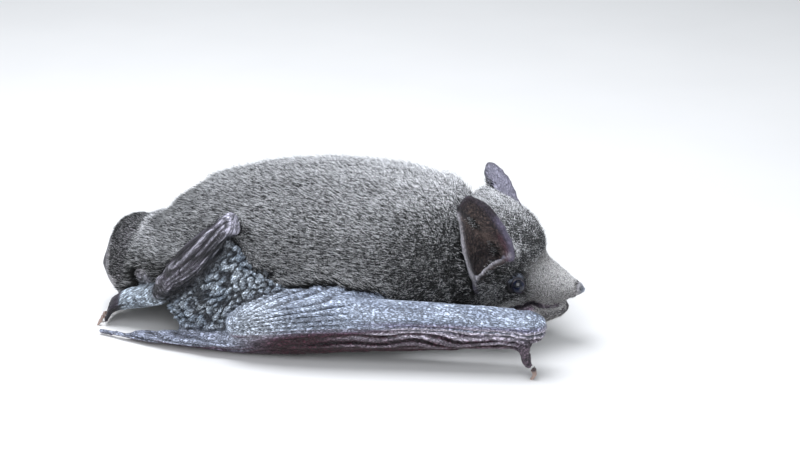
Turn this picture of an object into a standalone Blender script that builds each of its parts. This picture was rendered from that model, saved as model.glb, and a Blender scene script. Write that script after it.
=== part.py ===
"""A small vesper bat resting on a floor with its wings folded, at life size.

Frame: +X runs towards the nose, +Y to the animal's left, +Z up, and the floor is Z = 0.
The outer shape of the trunk, neck and head is that of the coat, out to the tips of the hair.

Every piece of the body is a loft: rings swept along a smooth line through a few stations.
Where two pieces meet, one is cut by its neighbour grown by GAP, so that they never overlap.
"""

import math

import bmesh
import bpy
import numpy as np
from mathutils import Vector

# ---------------------------------------------------------------- driving dimensions
MM = 0.001
GAP = 0.15 * MM  # clearance between two pieces of flesh
FOREARM = 32.0 * MM  # elbow to wrist, the measure that bats are sized by
SCALE = FOREARM / (32.0 * MM)  # the stations below are in millimetres for a 32 mm forearm
GROW = GAP / MM / SCALE  # the clearance in the stations' millimetres
CENTRE_X = -0.35  # moves the origin to the middle of the body's length
BEYOND = 40.0 * MM  # the size of a cutter that reaches past the whole body
MEMBRANE = 0.6  # thickness of a membrane
EAR_WALL = 0.5
LEFT_WING_BACK = 3.0  # the left wing is held a little further back than the right
EYE_RADIUS = 0.8
EYE_PLACE = (20.05, 3.77, 7.05)
TOES = 5
TOE_SPREAD = 0.62  # from one toe's root to the next
TOE_LEAN = 0.36  # how far the foot's middle line runs inwards, for each millimetre along it
TOE_FAN = 0.28  # how much wider the toes lie apart, for each millimetre along them
TOE_STAGGER = 0.13  # how much shorter each toe is than its neighbour towards the middle
RIGHT, LEFT = -1, 1
SIDES = {"right": RIGHT, "left": LEFT}
# How finely each kind of piece is faceted: rings along it, and points around each ring.
FACETS = {
    "trunk": (10, 16),
    "head": (15, 14),
    "jaw": (6, 10),
    "nose": (3, 8),
    "lobe": (5, 6),
    "upper_arm": (6, 10),
    "forearm": (8, 9),
    "wrist": (4, 8),
    "thumb": (4, 7),
    "thumb_claw": (6, 6),
    "finger": (8, 6),
    "wing_fold": (7, 7),
    "thigh": (4, 8),
    "shank": (7, 8),
    "foot": (4, 8),
    "toe": (3, 5),
    "tail": (7, 6),
}
EAR_GRID, HOOD_GRID, FLANK_GRID = (8, 6), (8, 9), (6, 5)  # rows and columns of the thin walls
EYE_GRID = (10, 6)  # segments and rings of the eyeball
FINE = 41  # rows of a margin that a wall's rows are picked from

# ---------------------------------------------------------------- stations, in millimetres
# Each station is x, y, z of the middle, then half the width and half the height of the ring.
# y and the names of paired pieces are given for one side and mirrored for the other.
TRUNK = [
    (-18.9, 0, 6.3, 2.7, 2.9),
    (-16.9, 0, 6.6, 5.0, 4.7),
    (-14.2, 0, 7.3, 6.7, 6.3),
    (-10.6, 0, 8.0, 8.0, 7.8),
    (-6.8, 0, 8.3, 8.7, 8.6),
    (-1.0, 0, 8.6, 9.2, 9.1),
    (5.0, 0, 8.7, 9.0, 9.1),
    (9.0, 0, 8.8, 8.3, 8.6),
    (12.2, 0, 8.9, 7.3, 7.8),
    (15.0, 0, 8.8, 6.1, 6.5),
    (16.5, 0, 8.7, 4.5, 5.1),
]
NECK_FROM = 11.4  # where the neck is parted from the trunk
SQUARENESS = 2.15  # exponent of the trunk's outline, where 2 is an ellipse
HEAD_SQUARENESS = 2.1
JAW_SQUARENESS = 2.2
HEAD = [
    (13.8, 0, 9.2, 2.6, 2.6),
    (15.0, 0, 9.1, 6.1, 6.0),
    (17.0, 0, 8.85, 6.15, 6.1),
    (19.0, 0, 8.55, 5.1, 5.35),
    (20.5, 0, 8.2, 3.98, 4.35),
    (21.2, 0, 7.75, 3.45, 3.65),
    (21.75, 0, 7.1, 3.12, 2.85),
    (22.2, 0, 6.52, 2.95, 2.2),
    (22.9, 0, 6.22, 2.75, 1.88),
    (23.9, 0, 6.0, 2.4, 1.62),
    (24.8, 0, 5.8, 1.85, 1.32),
    (25.3, 0, 5.7, 1.35, 1.0),
]
JAW = [
    (15.6, 0, 4.2, 3.6, 2.5),
    (17.5, 0, 3.9, 3.9, 2.5),
    (19.6, 0, 3.4, 3.7, 2.1),
    (21.2, 0, 3.2, 3.15, 1.85),
    (22.5, 0, 3.25, 2.45, 1.6),
    (23.5, 0, 3.5, 1.6, 1.15),
]
NOSE = [
    (24.8, 0, 5.75, 1.15, 0.85),
    (25.5, 0, 5.68, 1.05, 0.8),
    (25.8, 0, 5.6, 0.85, 0.62),
]
UPPER_ARM = [
    (9.0, 6.0, 6.2, 1.6, 1.6),
    (4.0, 8.0, 6.0, 2.2, 2.1),
    (-1.5, 9.8, 5.5, 2.2, 2.1),
    (-5.6, 11.2, 4.3, 1.9, 1.7),
]
FOREARM_BODY = [
    (-6.9, 11.7, 3.7, 1.6, 1.6),
    (-3.6, 11.6, 4.3, 1.9, 2.1),
    (1.0, 11.4, 5.0, 1.9, 2.2),
    (8.0, 10.7, 5.4, 1.65, 1.85),
    (15.5, 9.9, 5.4, 1.45, 1.65),
    (20.5, 9.3, 5.2, 1.5, 1.6),
]
WRIST = [
    (20.4, 9.3, 4.9, 1.3, 1.5),
    (21.6, 9.1, 4.8, 1.75, 1.95),
    (22.6, 8.9, 4.7, 1.5, 1.7),
]
THUMB = [
    (21.7, 9.7, 3.4, 0.65, 0.65),
    (21.9, 10.5, 2.4, 0.75, 0.62),
    (22.3, 10.8, 1.5, 0.55, 0.5),
]
THUMB_CLAW = [
    (22.2, 10.8, 1.5, 0.34, 0.34),
    (22.8, 10.8, 1.15, 0.3, 0.3),
    (22.95, 10.8, 0.6, 0.22, 0.22),
    (22.5, 10.7, -0.1, 0.12, 0.12),
]
# The folded fingers, with the palm bones from the wrist to the knuckles by the elbow.
FINGERS = {
    3: [
        (21.0, 9.9, 3.2, 0.62, 0.55),
        (13.0, 10.9, 2.9, 0.55, 0.5),
        (4.0, 11.8, 2.5, 0.55, 0.5),
        (-5.5, 12.1, 1.8, 0.62, 0.58),
        (-14.0, 11.2, 0.9, 0.45, 0.42),
        (-22.6, 8.6, 0.35, 0.36, 0.34),
    ],
    4: [
        (21.0, 8.9, 2.9, 0.6, 0.55),
        (13.0, 9.7, 2.2, 0.55, 0.5),
        (4.0, 10.6, 1.6, 0.55, 0.5),
        (-5.0, 11.0, 0.75, 0.6, 0.56),
        (-12.0, 10.2, 0.4, 0.44, 0.4),
        (-18.2, 9.0, 0.3, 0.34, 0.32),
    ],
    5: [
        (20.9, 8.0, 3.3, 0.58, 0.55),
        (13.0, 8.5, 2.6, 0.5, 0.48),
        (4.0, 9.4, 1.6, 0.5, 0.48),
        (-4.5, 9.6, 0.55, 0.58, 0.54),
        (-10.5, 9.0, 0.35, 0.42, 0.38),
        (-15.6, 8.3, 0.3, 0.34, 0.32),
    ],
}
WING_FOLD = [
    (19.6, 9.2, 3.8, 0.9, 0.8),
    (13.0, 9.8, 3.4, 1.2, 1.1),
    (4.0, 10.6, 2.8, 1.45, 1.35),
    (-5.5, 11.0, 1.9, 1.5, 1.45),
    (-12.0, 10.3, 1.1, 1.25, 1.05),
    (-18.8, 9.2, 0.5, 0.65, 0.55),
]
THIGH = [
    (-12.6, 4.4, 9.2, 1.9, 1.9),
    (-10.6, 6.2, 11.2, 1.6, 1.6),
    (-9.0, 7.5, 12.3, 1.0, 1.05),
]
SHANK = [
    (-8.2, 8.6, 13.35, 1.2, 1.25),
    (-9.8, 8.95, 11.8, 1.15, 1.35),
    (-12.4, 9.0, 8.8, 1.2, 1.7),
    (-14.8, 8.0, 6.05, 1.1, 1.5),
    (-16.2, 7.3, 4.6, 1.0, 1.15),
]
FOOT = [
    (-16.2, 7.0, 4.3, 1.1, 1.2),
    (-18.4, 6.2, 3.55, 1.25, 1.35),
    (-20.6, 5.5, 2.85, 1.4, 1.2),
    (-21.9, 5.15, 2.2, 1.4, 0.85),
]
FOOT_END = (-21.4, 5.2)
TOE = [(-21.4, 0, 2.5, 0.44, 0.44), (-22.7, 0, 1.5, 0.4, 0.42), (-23.1, 0, 0.5, 0.38, 0.36)]
TOE_CLAW = [(-23.1, 0, 0.7, 0.26, 0.26), (-23.65, 0, 0.5, 0.2, 0.22), (-23.95, 0, 0.0, 0.12, 0.1)]
TAIL = [
    (-17.2, 0, 7.4, 0.95, 0.95),
    (-19.6, 0, 8.0, 0.8, 0.8),
    (-22.0, 0, 7.6, 0.72, 0.72),
    (-23.7, 0, 4.6, 0.6, 0.6),
    (-22.6, 0, 1.6, 0.5, 0.5),
    (-20.6, 0, 0.5, 0.42, 0.42),
]
# The tail membrane is a hood between its ridge over the tail and its two edges along the legs.
HOOD_RIDGE = [
    (-14.6, 0, 9.0),
    (-17.6, 0, 9.3),
    (-20.4, 0, 9.3),
    (-22.7, 0, 8.9),
    (-24.0, 0, 7.2),
    (-24.8, 0, 5.1),
    (-23.9, 0, 2.9),
    (-22.4, 0, 1.2),
]
HOOD_EDGE = [
    (-11.6, 7.3, 9.6),
    (-13.4, 7.1, 8.0),
    (-14.9, 6.7, 6.6),
    (-16.2, 6.1, 5.5),
    (-18.0, 5.2, 5.0),
    (-20.0, 4.3, 4.6),
    (-21.4, 3.5, 3.4),
    (-21.7, 2.6, 1.8),
]
# The gathered flank membrane hangs between the knee, the ankle and the elbow.
FLANK_TOP = [(-8.6, 8.9, 12.2), (-7.4, 9.3, 11.0), (-5.5, 9.8, 8.7), (-2.5, 10.2, 7.6)]
FLANK_BULGE = 0.5
FLANK_WALL = MEMBRANE + 0.2  # it hangs in folds, so it is thicker than one membrane
FLANK_FOOT = [(-15.6, 7.9, 4.2), (-13.6, 9.4, 2.2), (-10.2, 10.6, 1.7), (-6.6, 11.2, 2.5)]
# Each ear is a spoon between its front and rear margins, from the head up to its round tip.
EAR_FRONT = [
    (17.9, 4.9, 7.7),
    (19.5, 4.75, 9.2),
    (20.0, 4.75, 10.5),
    (19.2, 5.15, 12.7),
    (18.25, 5.6, 14.7),
    (17.2, 6.0, 16.1),
    (16.3, 6.25, 16.9),
    (15.6, 6.3, 17.0),
]
EAR_REAR = [
    (16.6, 6.1, 6.6),
    (15.7, 6.6, 8.3),
    (15.1, 6.85, 10.8),
    (14.8, 6.9, 12.6),
    (14.6, 6.8, 14.4),
    (14.25, 6.6, 15.4),
    (14.35, 6.4, 16.3),
    (15.0, 6.3, 16.95),
]
EAR_DEPTH = [0.2, 1.3, 2.0, 1.8, 1.3, 0.85, 0.5, 0.15]  # how far the spoon is hollowed
EAR_REACH = 0.08  # how far the room for an ear reaches past its margins
EAR_MOUTH = 4.5  # how far that room is drawn out through the ear's opening
EAR_FOOT_ROOM = 0.3  # how far it reaches past the ear's lower end
# The left ear is held a little furled: the share that its front and rear margins are drawn in.
EAR_FURLED = {RIGHT: (0.0, 0.0), LEFT: (0.1, 0.2)}
EAR_HEIGHT = {RIGHT: 1.0, LEFT: 0.95}  # and it stands a little lower, above EAR_BASE
EAR_BASE = 8.0
EAR_BACK = (-0.55, -0.8, 0.2)  # the way it is hollowed: backwards and inwards
TRAGUS = [
    (19.0, 5.0, 9.7, 0.5, 0.7),
    (18.2, 6.0, 9.9, 0.34, 0.8),
    (17.3, 6.8, 9.4, 0.3, 0.7),
    (16.6, 7.1, 8.5, 0.26, 0.45),
]

SKIN = {
    "coat": ("5e5d5b", 0.95),
    "face": ("77747a", 0.6),
    "ear": ("3a2e31", 0.55),
    "wing": ("747a88", 0.5),
    "foot": ("5b5c66", 0.55),
    "claw": ("c9b7ac", 0.35),
    "eye": ("06070a", 0.08),
}


# ---------------------------------------------------------------- scene and materials
def empty_scene():
    """Removes what the startup file holds and makes the two collections."""
    for thing in list(bpy.data.objects):
        bpy.data.objects.remove(thing)
    made = []
    for name in ("bat", "cutters"):
        collection = bpy.data.collections.new(name)
        bpy.context.scene.collection.children.link(collection)
        made.append(collection)
    made[1].hide_render = True
    return made


def linear(hex_colour):
    """A linear RGBA colour from an sRGB hex value."""
    parts = [int(hex_colour[i : i + 2], 16) / 255 for i in (0, 2, 4)]
    return [c / 12.92 if c < 0.04045 else ((c + 0.055) / 1.055) ** 2.4 for c in parts] + [1]


def make_materials():
    """One Principled material for each kind of surface."""
    made = {}
    for name, (colour, roughness) in SKIN.items():
        material = bpy.data.materials.new(name)
        material.use_nodes = True
        shader = material.node_tree.nodes["Principled BSDF"]
        shader.inputs["Base Color"].default_value = linear(colour)
        shader.inputs["Roughness"].default_value = roughness
        shader.inputs["Metallic"].default_value = 0.0
        made[name] = material
    return made


# ---------------------------------------------------------------- loft tools
def smooth_line(points, count):
    """count rows along a Catmull-Rom line through the rows of points, evenly spaced by length."""
    rows = np.array(points, float)
    steps = np.linalg.norm(np.diff(rows[:, :3], axis=0), axis=1)
    at = np.concatenate([[0], np.cumsum(steps)])
    slopes = np.gradient(rows, at, axis=0)
    found = []
    for t in np.linspace(0, at[-1], count):
        i = min(np.searchsorted(at, t, side="right") - 1, len(rows) - 2)
        h = at[i + 1] - at[i]
        u = (t - at[i]) / h
        found.append(
            (2 * u**3 - 3 * u**2 + 1) * rows[i]
            + (u**3 - 2 * u**2 + u) * h * slopes[i]
            + (3 * u**2 - 2 * u**3) * rows[i + 1]
            + (u**3 - u**2) * h * slopes[i + 1]
        )
    return np.array(found)


def to_frame(point, side):
    """A place in metres in the part's frame, on the given side of the body."""
    x, y, z = point
    return Vector(((x + CENTRE_X) * SCALE * MM, side * y * SCALE * MM, z * SCALE * MM))


def link_mesh(name, mesh, collection, material=None):
    """A new object that holds the mesh, shaded smooth, in the collection."""
    made = bpy.data.objects.new(name, mesh)
    collection.objects.link(made)
    if material:
        mesh.materials.append(material)
    mesh.shade_smooth()
    return made


def closed_mesh(name, form):
    """A mesh from a bmesh, its faces turned outwards."""
    bmesh.ops.recalc_face_normals(form, faces=form.faces)
    mesh = bpy.data.meshes.new(name)
    form.to_mesh(mesh)
    form.free()
    return mesh


def loft(name, stations, facets, side=1, grow=0.0, square=2.0, dome=2, upright=False):
    """A closed mesh swept through stations, with a domed cap of dome rings at each end.

    facets holds the number of rings and of points around each. grow is an all-round offset in
    millimetres, and square the exponent of the ring's outline. The rings stand across the
    line, or all across X where upright is true.
    """
    rings, around = facets
    line = smooth_line(stations, rings)
    centres = line[:, :3] * (1, side, 1)
    slopes = np.gradient(centres, axis=0)
    if upright:
        slopes = slopes * (1, 0, 0)
    ends = []
    for end, sign in ((0, -1), (-1, 1)):
        ahead = sign * slopes[end] / np.linalg.norm(slopes[end])
        reach = 0.8 * line[end, 3:5].mean() + grow
        ends.append((end, ahead, reach))
    rows = [(centres[i], slopes[i], line[i, 3:5] + grow) for i in range(rings)]
    for end, ahead, reach in ends:
        cap = []
        for step in range(1, dome + 1):
            turn = math.pi / 2 * step / (dome + 0.35)
            size = (line[end, 3:5] + grow) * math.cos(turn)
            cap.append((centres[end] + ahead * reach * math.sin(turn), slopes[end], size))
        rows = cap[::-1] + rows if end == 0 else rows + cap
    form = bmesh.new()
    circles = []
    for centre, slope, (wide, high) in rows:
        along = Vector(slope).normalized()
        across = Vector((0, 1, 0))
        if abs(along.y) > 0.8:
            across = Vector((1, 0, 0))
        across = (across - along * across.dot(along)).normalized()
        over = along.cross(across)
        circle = []
        for k in range(around):
            turn = 2 * math.pi * k / around
            c, s = math.cos(turn), math.sin(turn)
            out_c = math.copysign(abs(c) ** (2 / square), c) * wide
            out_s = math.copysign(abs(s) ** (2 / square), s) * high
            place = Vector(centre) + across * out_c + over * out_s
            circle.append(form.verts.new(to_frame(place, 1)))
        circles.append(circle)
    for first, second in zip(circles, circles[1:]):
        for k in range(around):
            n = (k + 1) % around
            form.faces.new((first[k], first[n], second[n], second[k]))
    for circle, (end, ahead, reach) in ((circles[0], ends[0]), (circles[-1], ends[1])):
        pole = form.verts.new(to_frame(centres[end] + ahead * reach, 1))
        for k in range(around):
            form.faces.new((circle[k], circle[(k + 1) % around], pole))
    return closed_mesh(name, form)


def sheet(name, place, size, thickness):
    """A closed wall of one thickness on the surface place(u, v), with u and v from 0 to 1."""
    rows, columns = size
    form = bmesh.new()
    grid = [
        [form.verts.new(place(i / (rows - 1), j / (columns - 1))) for j in range(columns)]
        for i in range(rows)
    ]
    for i in range(rows - 1):
        for j in range(columns - 1):
            form.faces.new((grid[i][j], grid[i + 1][j], grid[i + 1][j + 1], grid[i][j + 1]))
    form.normal_update()
    skin = bpy.data.meshes.new(name)
    form.to_mesh(skin)
    form.free()
    holder = bpy.data.objects.new(name, skin)
    bpy.context.scene.collection.objects.link(holder)
    wall = holder.modifiers.new("wall", "SOLIDIFY")
    wall.thickness = thickness * SCALE * MM
    wall.offset = 0
    wall.use_even_offset = True
    graph = bpy.context.evaluated_depsgraph_get()
    solid = bpy.data.meshes.new_from_object(holder.evaluated_get(graph))
    bpy.data.objects.remove(holder)
    form = bmesh.new()
    form.from_mesh(solid)
    return closed_mesh(name, form)


# ---------------------------------------------------------------- joining tools
def moved(stations, ahead):
    """The stations, all moved forward by a distance."""
    return [(x + ahead, *rest) for x, *rest in stations]


class Workshop:
    """Holds the two collections and the materials, and makes and cuts the pieces."""

    def __init__(self):
        self.bat, self.cutters = empty_scene()
        self.materials = make_materials()

    def piece(self, name, mesh, material):
        """A named piece of the bat."""
        return link_mesh(name, mesh, self.bat, self.materials[material])

    def tool(self, name, mesh):
        """A hidden helper that cuts or joins."""
        made = link_mesh(name, mesh, self.cutters)
        made.hide_render = True
        made.display_type = "WIRE"
        return made

    def combine(self, target, helper, operation):
        """Adds a Boolean of the helper to the target."""
        step = target.modifiers.new(f"{operation.lower()} {helper.name}", "BOOLEAN")
        step.operation = operation
        step.object = helper
        step.solver = "MANIFOLD"  # the cuts graze, and EXACT loses the body on some of them

    def cut(self, target, *helpers):
        """Takes every helper away from the target."""
        for helper in helpers:
            self.combine(target, helper, "DIFFERENCE")

    def settle(self, target):
        """Applies the target's Booleans and keeps only its largest body."""
        graph = bpy.context.evaluated_depsgraph_get()
        mesh = bpy.data.meshes.new_from_object(target.evaluated_get(graph))
        target.modifiers.clear()
        form = bmesh.new()
        form.from_mesh(mesh)
        bmesh.ops.triangulate(form, faces=form.faces)
        islands = faces_by_island(form)
        largest = max(islands, key=lambda faces: sum(face.calc_area() for face in faces))
        spare = [face for faces in islands if faces is not largest for face in faces]
        bmesh.ops.delete(form, geom=spare, context="FACES")
        loose = [v for v in form.verts if not v.link_faces]
        bmesh.ops.delete(form, geom=loose, context="VERTS")
        form.to_mesh(target.data)
        form.free()
        target.data.shade_smooth()


def faces_by_island(form):
    """The faces of each connected body."""
    islands, seen = [], set()
    for start in form.faces:
        if start in seen:
            continue
        island, todo = [], [start]
        seen.add(start)
        while todo:
            face = todo.pop()
            island.append(face)
            for edge in face.edges:
                for other in edge.link_faces:
                    if other not in seen:
                        seen.add(other)
                        todo.append(other)
        islands.append(island)
    return islands


def block(name, centre, size):
    """A box, from its centre and size in metres."""
    form = bmesh.new()
    bmesh.ops.create_cube(form, size=1.0)
    bmesh.ops.scale(form, vec=size, verts=form.verts)
    bmesh.ops.translate(form, vec=centre, verts=form.verts)
    return closed_mesh(name, form)


# ---------------------------------------------------------------- pieces with shapes of their own
def ear_margins(side, rows):
    """The front and rear margins of an ear, as rows of points."""
    front, rear = smooth_line(EAR_FRONT, rows), smooth_line(EAR_REAR, rows)
    for margin in (front, rear):
        margin[:, 2] = EAR_BASE + (margin[:, 2] - EAR_BASE) * EAR_HEIGHT[side]
    front_in, rear_in = EAR_FURLED[side]
    return front + (rear - front) * front_in, rear + (front - rear) * rear_in


def ear_surface(side, reach=0.0):
    """The ear's surface, which is open forwards and outwards.

    reach carries the surface on past its margins and its lower end, as a share of its size.
    """
    front, rear = ear_margins(side, FINE)
    depth = smooth_line([(i, 0, 0, d) for i, d in enumerate(EAR_DEPTH)], FINE)[:, 3]
    back = Vector(EAR_BACK).normalized()

    def bowl(i, v):
        across = Vector(rear[i]).lerp(Vector(front[i]), v)
        return across + back * depth[i] * 4 * v * (1 - v)

    def place(u, v):
        v = -reach + (1 + 2 * reach) * v
        out = bowl(round(u * (FINE - 1)), v)
        if u == 0 and reach:
            out = out + (out - bowl(2, v)).normalized() * EAR_FOOT_ROOM
        return to_frame(out, side)

    return place


def ear_pocket(side):
    """The room that an ear takes up in the head, drawn out through its opening."""
    wall = sheet("pocket", ear_surface(side, EAR_REACH), EAR_GRID, EAR_WALL + 4 * GROW)
    out = Vector(EAR_BACK).normalized() * -EAR_MOUTH * SCALE * MM
    out.y *= side
    form = bmesh.new()
    for vert in wall.vertices:
        form.verts.new(vert.co)
        form.verts.new(vert.co + out)
    bmesh.ops.convex_hull(form, input=form.verts)
    inner = [v for v in form.verts if not v.link_faces]
    bmesh.ops.delete(form, geom=inner, context="VERTS")
    return closed_mesh("pocket", form)


def hood_surface(u, v):
    """The tail membrane, from its ridge over the tail down to the legs on both sides."""
    row = round(u * (FINE - 1))
    ridge = Vector(smooth_line(HOOD_RIDGE, FINE)[row])
    edge = Vector(smooth_line(HOOD_EDGE, FINE)[row])
    q = 2 * v - 1
    turn = abs(q) * math.pi / 2
    fall = 1 - math.cos(turn)
    x = ridge.x + (edge.x - ridge.x) * fall
    z = ridge.z + (edge.z - ridge.z) * fall
    return to_frame((x, math.copysign(edge.y * math.sin(turn), q), z), 1)


def flank_surface(side):
    """The gathered flank membrane, between its upper edge and its foot."""

    def place(u, v):
        row = round(u * (FINE - 1))
        top = Vector(smooth_line(FLANK_TOP, FINE)[row])
        foot = Vector(smooth_line(FLANK_FOOT, FINE)[row])
        out = top.lerp(foot, v)
        out.y += FLANK_BULGE * math.sin(math.pi * v) * math.sin(math.pi * u)
        return to_frame(out, side)

    return place


def eye_ball(side, grow=0.0):
    """The eyeball, as a sphere."""
    form = bmesh.new()
    radius = (EYE_RADIUS + grow) * SCALE * MM
    segments, rings = EYE_GRID
    bmesh.ops.create_uvsphere(form, u_segments=segments, v_segments=rings, radius=radius)
    bmesh.ops.translate(form, vec=to_frame(EYE_PLACE, side), verts=form.verts)
    return closed_mesh("eye", form)


def toe_stations(stations, number):
    """The stations of one toe or claw: the toes fan out from the foot, the middle one longest."""
    place = number - (TOES - 1) / 2
    root, middle = FOOT_END
    out = []
    for x, _, z, wide, high in stations:
        along = root - x
        y = middle - TOE_LEAN * along + place * TOE_SPREAD * (1 + TOE_FAN * along)
        out.append((x + TOE_STAGGER * abs(place), y, z, wide, high))
    return out


# ---------------------------------------------------------------- the animal
def make_trunk(shop):
    """The trunk and the neck, which are one shape parted by a thin upright cut."""
    body = loft("body", TRUNK, FACETS["trunk"], square=SQUARENESS)
    trunk = shop.piece("trunk", body, "coat")
    neck = shop.piece("neck", body.copy(), "coat")
    parting = to_frame((NECK_FROM, 0, 9), 1)
    offset = Vector(((BEYOND - GAP) / 2, 0, 0))
    for piece, side in ((trunk, 1), (neck, -1)):
        name = f"beyond_{piece.name}"
        box = block(name, parting + offset * side, (BEYOND, BEYOND, BEYOND))
        shop.cut(piece, shop.tool(name, box))
    return trunk, neck


def make_head(shop, neck):
    """The head with its jaw, nose, eyes, ears and the lobe in each ear."""
    forms = {
        "head": (HEAD, FACETS["head"], {"square": HEAD_SQUARENESS, "upright": True}),
        "lower_jaw": (JAW, FACETS["jaw"], {"square": JAW_SQUARENESS}),
        "nose_pad": (NOSE, FACETS["nose"], {}),
    }
    made = []
    for name, (stations, facets, form) in forms.items():
        slot = "coat" if name == "head" else "face"
        piece = shop.piece(name, loft(name, stations, facets, **form), slot)
        room = loft(f"{name}_room", stations, facets, grow=GROW, **form)
        made += [piece, shop.tool(f"{name}_room", room)]
    head, grown, jaw, jaw_room, _, nose_room = made
    shop.cut(jaw, grown)
    shop.cut(neck, grown, jaw_room)
    shop.cut(head, nose_room)
    for word, side in SIDES.items():
        shop.piece(f"eye_{word}", eye_ball(side), "eye")
        shop.cut(head, shop.tool(f"eye_room_{word}", eye_ball(side, GROW)))
        ear_mesh = sheet("ear", ear_surface(side), EAR_GRID, EAR_WALL)
        ear = shop.piece(f"ear_{word}", ear_mesh, "ear")
        shop.piece(f"tragus_{word}", loft("lobe", TRAGUS, FACETS["lobe"], side), "ear")
        lobe_mesh = loft("lobe", TRAGUS, FACETS["lobe"], side, GROW)
        lobe_room = shop.tool(f"tragus_room_{word}", lobe_mesh)
        pocket_room = shop.tool(f"ear_room_{word}", ear_pocket(side))
        shop.cut(ear, lobe_room)
        shop.settle(ear)
        for flesh in (head, neck):
            shop.cut(flesh, pocket_room, lobe_room)
    shop.settle(jaw)
    shop.settle(head)


def make_wing(shop, word, side, floor):
    """One folded wing. Returns the grown copies that cut the trunk and the flank membrane."""
    ahead = -LEFT_WING_BACK if side == LEFT else 0.0

    def bone(name, stations, facets, slot="wing", dome=2):
        """One length of the wing and its grown copy."""
        at = moved(stations, ahead)
        piece = shop.piece(f"{name}_{word}", loft(name, at, facets, side, dome=dome), slot)
        grown = loft(name, at, facets, side, GROW, dome=dome)
        return piece, shop.tool(f"{name}_room_{word}", grown)

    arm, arm_room = bone("upper_arm", UPPER_ARM, FACETS["upper_arm"])
    fore, fore_room = bone("forearm", FOREARM_BODY, FACETS["forearm"])
    _, wrist_room = bone("wrist", WRIST, FACETS["wrist"])
    thumb, thumb_room = bone("thumb", THUMB, FACETS["thumb"])
    claw, _ = bone("thumb_claw", THUMB_CLAW, FACETS["thumb_claw"], "claw", 1)
    shop.cut(arm, fore_room)
    shop.cut(fore, wrist_room)
    shop.cut(thumb, wrist_room)
    shop.cut(claw, thumb_room, floor)
    rooms = []
    for number, stations in FINGERS.items():
        finger, finger_room = bone(f"finger_{number}", stations, FACETS["finger"], dome=1)
        rooms.append(finger_room)
        shop.cut(finger, wrist_room, fore_room, thumb_room, floor)
        shop.settle(finger)
    fold, fold_room = bone("wing_fold", WING_FOLD, FACETS["wing_fold"])
    shop.cut(fold, fore_room, arm_room, wrist_room, *rooms, floor)
    for piece in (arm, fore, thumb, claw, fold):
        shop.settle(piece)
    return [arm_room, fore_room, wrist_room, fold_room, *rooms]


def make_leg(shop, word, side, floor):
    """One hind leg, its foot with toes and claws. Returns the grown copies that cut others."""
    lengths, rooms = [], []
    for name, stations, slot in (
        ("thigh", THIGH, "coat"),
        ("shank", SHANK, "foot"),
        ("foot", FOOT, "foot"),
    ):
        facets = FACETS[name]
        lengths.append(shop.piece(f"{name}_{word}", loft(name, stations, facets, side), slot))
        room = loft(name, stations, facets, side, GROW)
        rooms.append(shop.tool(f"{name}_room_{word}", room))
    thigh, shank, foot = lengths
    shop.cut(thigh, rooms[1])
    shop.cut(shank, rooms[2])
    for number in range(TOES):
        bones, horn = toe_stations(TOE, number), toe_stations(TOE_CLAW, number)
        toe = loft("toe", bones, FACETS["toe"], side, dome=1)
        shop.combine(foot, shop.tool(f"toe_{number}_{word}", toe), "UNION")
        toe_room = loft("toe", bones, FACETS["toe"], side, GROW, dome=1)
        rooms.append(shop.tool(f"toe_room_{number}_{word}", toe_room))
        claw_mesh = loft("claw", horn, FACETS["toe"], side, dome=1)
        claw = shop.piece(f"toe_claw_{number + 1}_{word}", claw_mesh, "claw")
        shop.cut(claw, rooms[-1], floor)
        shop.settle(claw)
    shop.cut(foot, floor)
    for piece in lengths:
        shop.settle(piece)
    return rooms


def make_tail(shop, floor, leg_rooms, trunk_room):
    """The tail and the membrane that hoods it."""
    tail = shop.piece("tail", loft("tail", TAIL, FACETS["tail"]), "foot")
    tail_room = shop.tool("tail_room", loft("tail", TAIL, FACETS["tail"], grow=GROW))
    hood = shop.piece("tail_membrane", sheet("hood", hood_surface, HOOD_GRID, MEMBRANE), "foot")
    shop.cut(tail, trunk_room, floor)
    shop.cut(hood, trunk_room, tail_room, *leg_rooms, floor)
    shop.settle(tail)
    shop.settle(hood)


def make_bat():
    """Builds every piece and cuts each where its neighbour stands."""
    shop = Workshop()
    under = block("floor", (0, 0, -BEYOND / 2), (3 * BEYOND, 2 * BEYOND, BEYOND))
    floor = shop.tool("floor", under)
    trunk, neck = make_trunk(shop)
    make_head(shop, neck)
    grown = loft("body", TRUNK, FACETS["trunk"], grow=GROW, square=SQUARENESS)
    trunk_room = shop.tool("trunk_room", grown)
    leg_rooms = []
    for word, side in SIDES.items():
        wing_rooms = make_wing(shop, word, side, floor)
        rooms = make_leg(shop, word, side, floor)
        shop.cut(trunk, wing_rooms[0], rooms[0])
        shop.settle(trunk)
        shop.cut(neck, wing_rooms[0])
        shop.settle(neck)
        flank_mesh = sheet("flank", flank_surface(side), FLANK_GRID, FLANK_WALL)
        flank = shop.piece(f"flank_membrane_{word}", flank_mesh, "wing")
        shop.cut(flank, trunk_room, *wing_rooms, *rooms, floor)
        shop.settle(flank)
        leg_rooms += rooms
    make_tail(shop, floor, leg_rooms, trunk_room)
    shop.cut(trunk, floor)
    shop.cut(neck, floor)
    shop.settle(trunk)
    shop.settle(neck)


make_bat()
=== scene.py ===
import logging
import math
from dataclasses import dataclass, field
from enum import Enum

import bmesh
import bpy
import numpy as np
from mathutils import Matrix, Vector, noise
from mathutils.bvhtree import BVHTree


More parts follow.
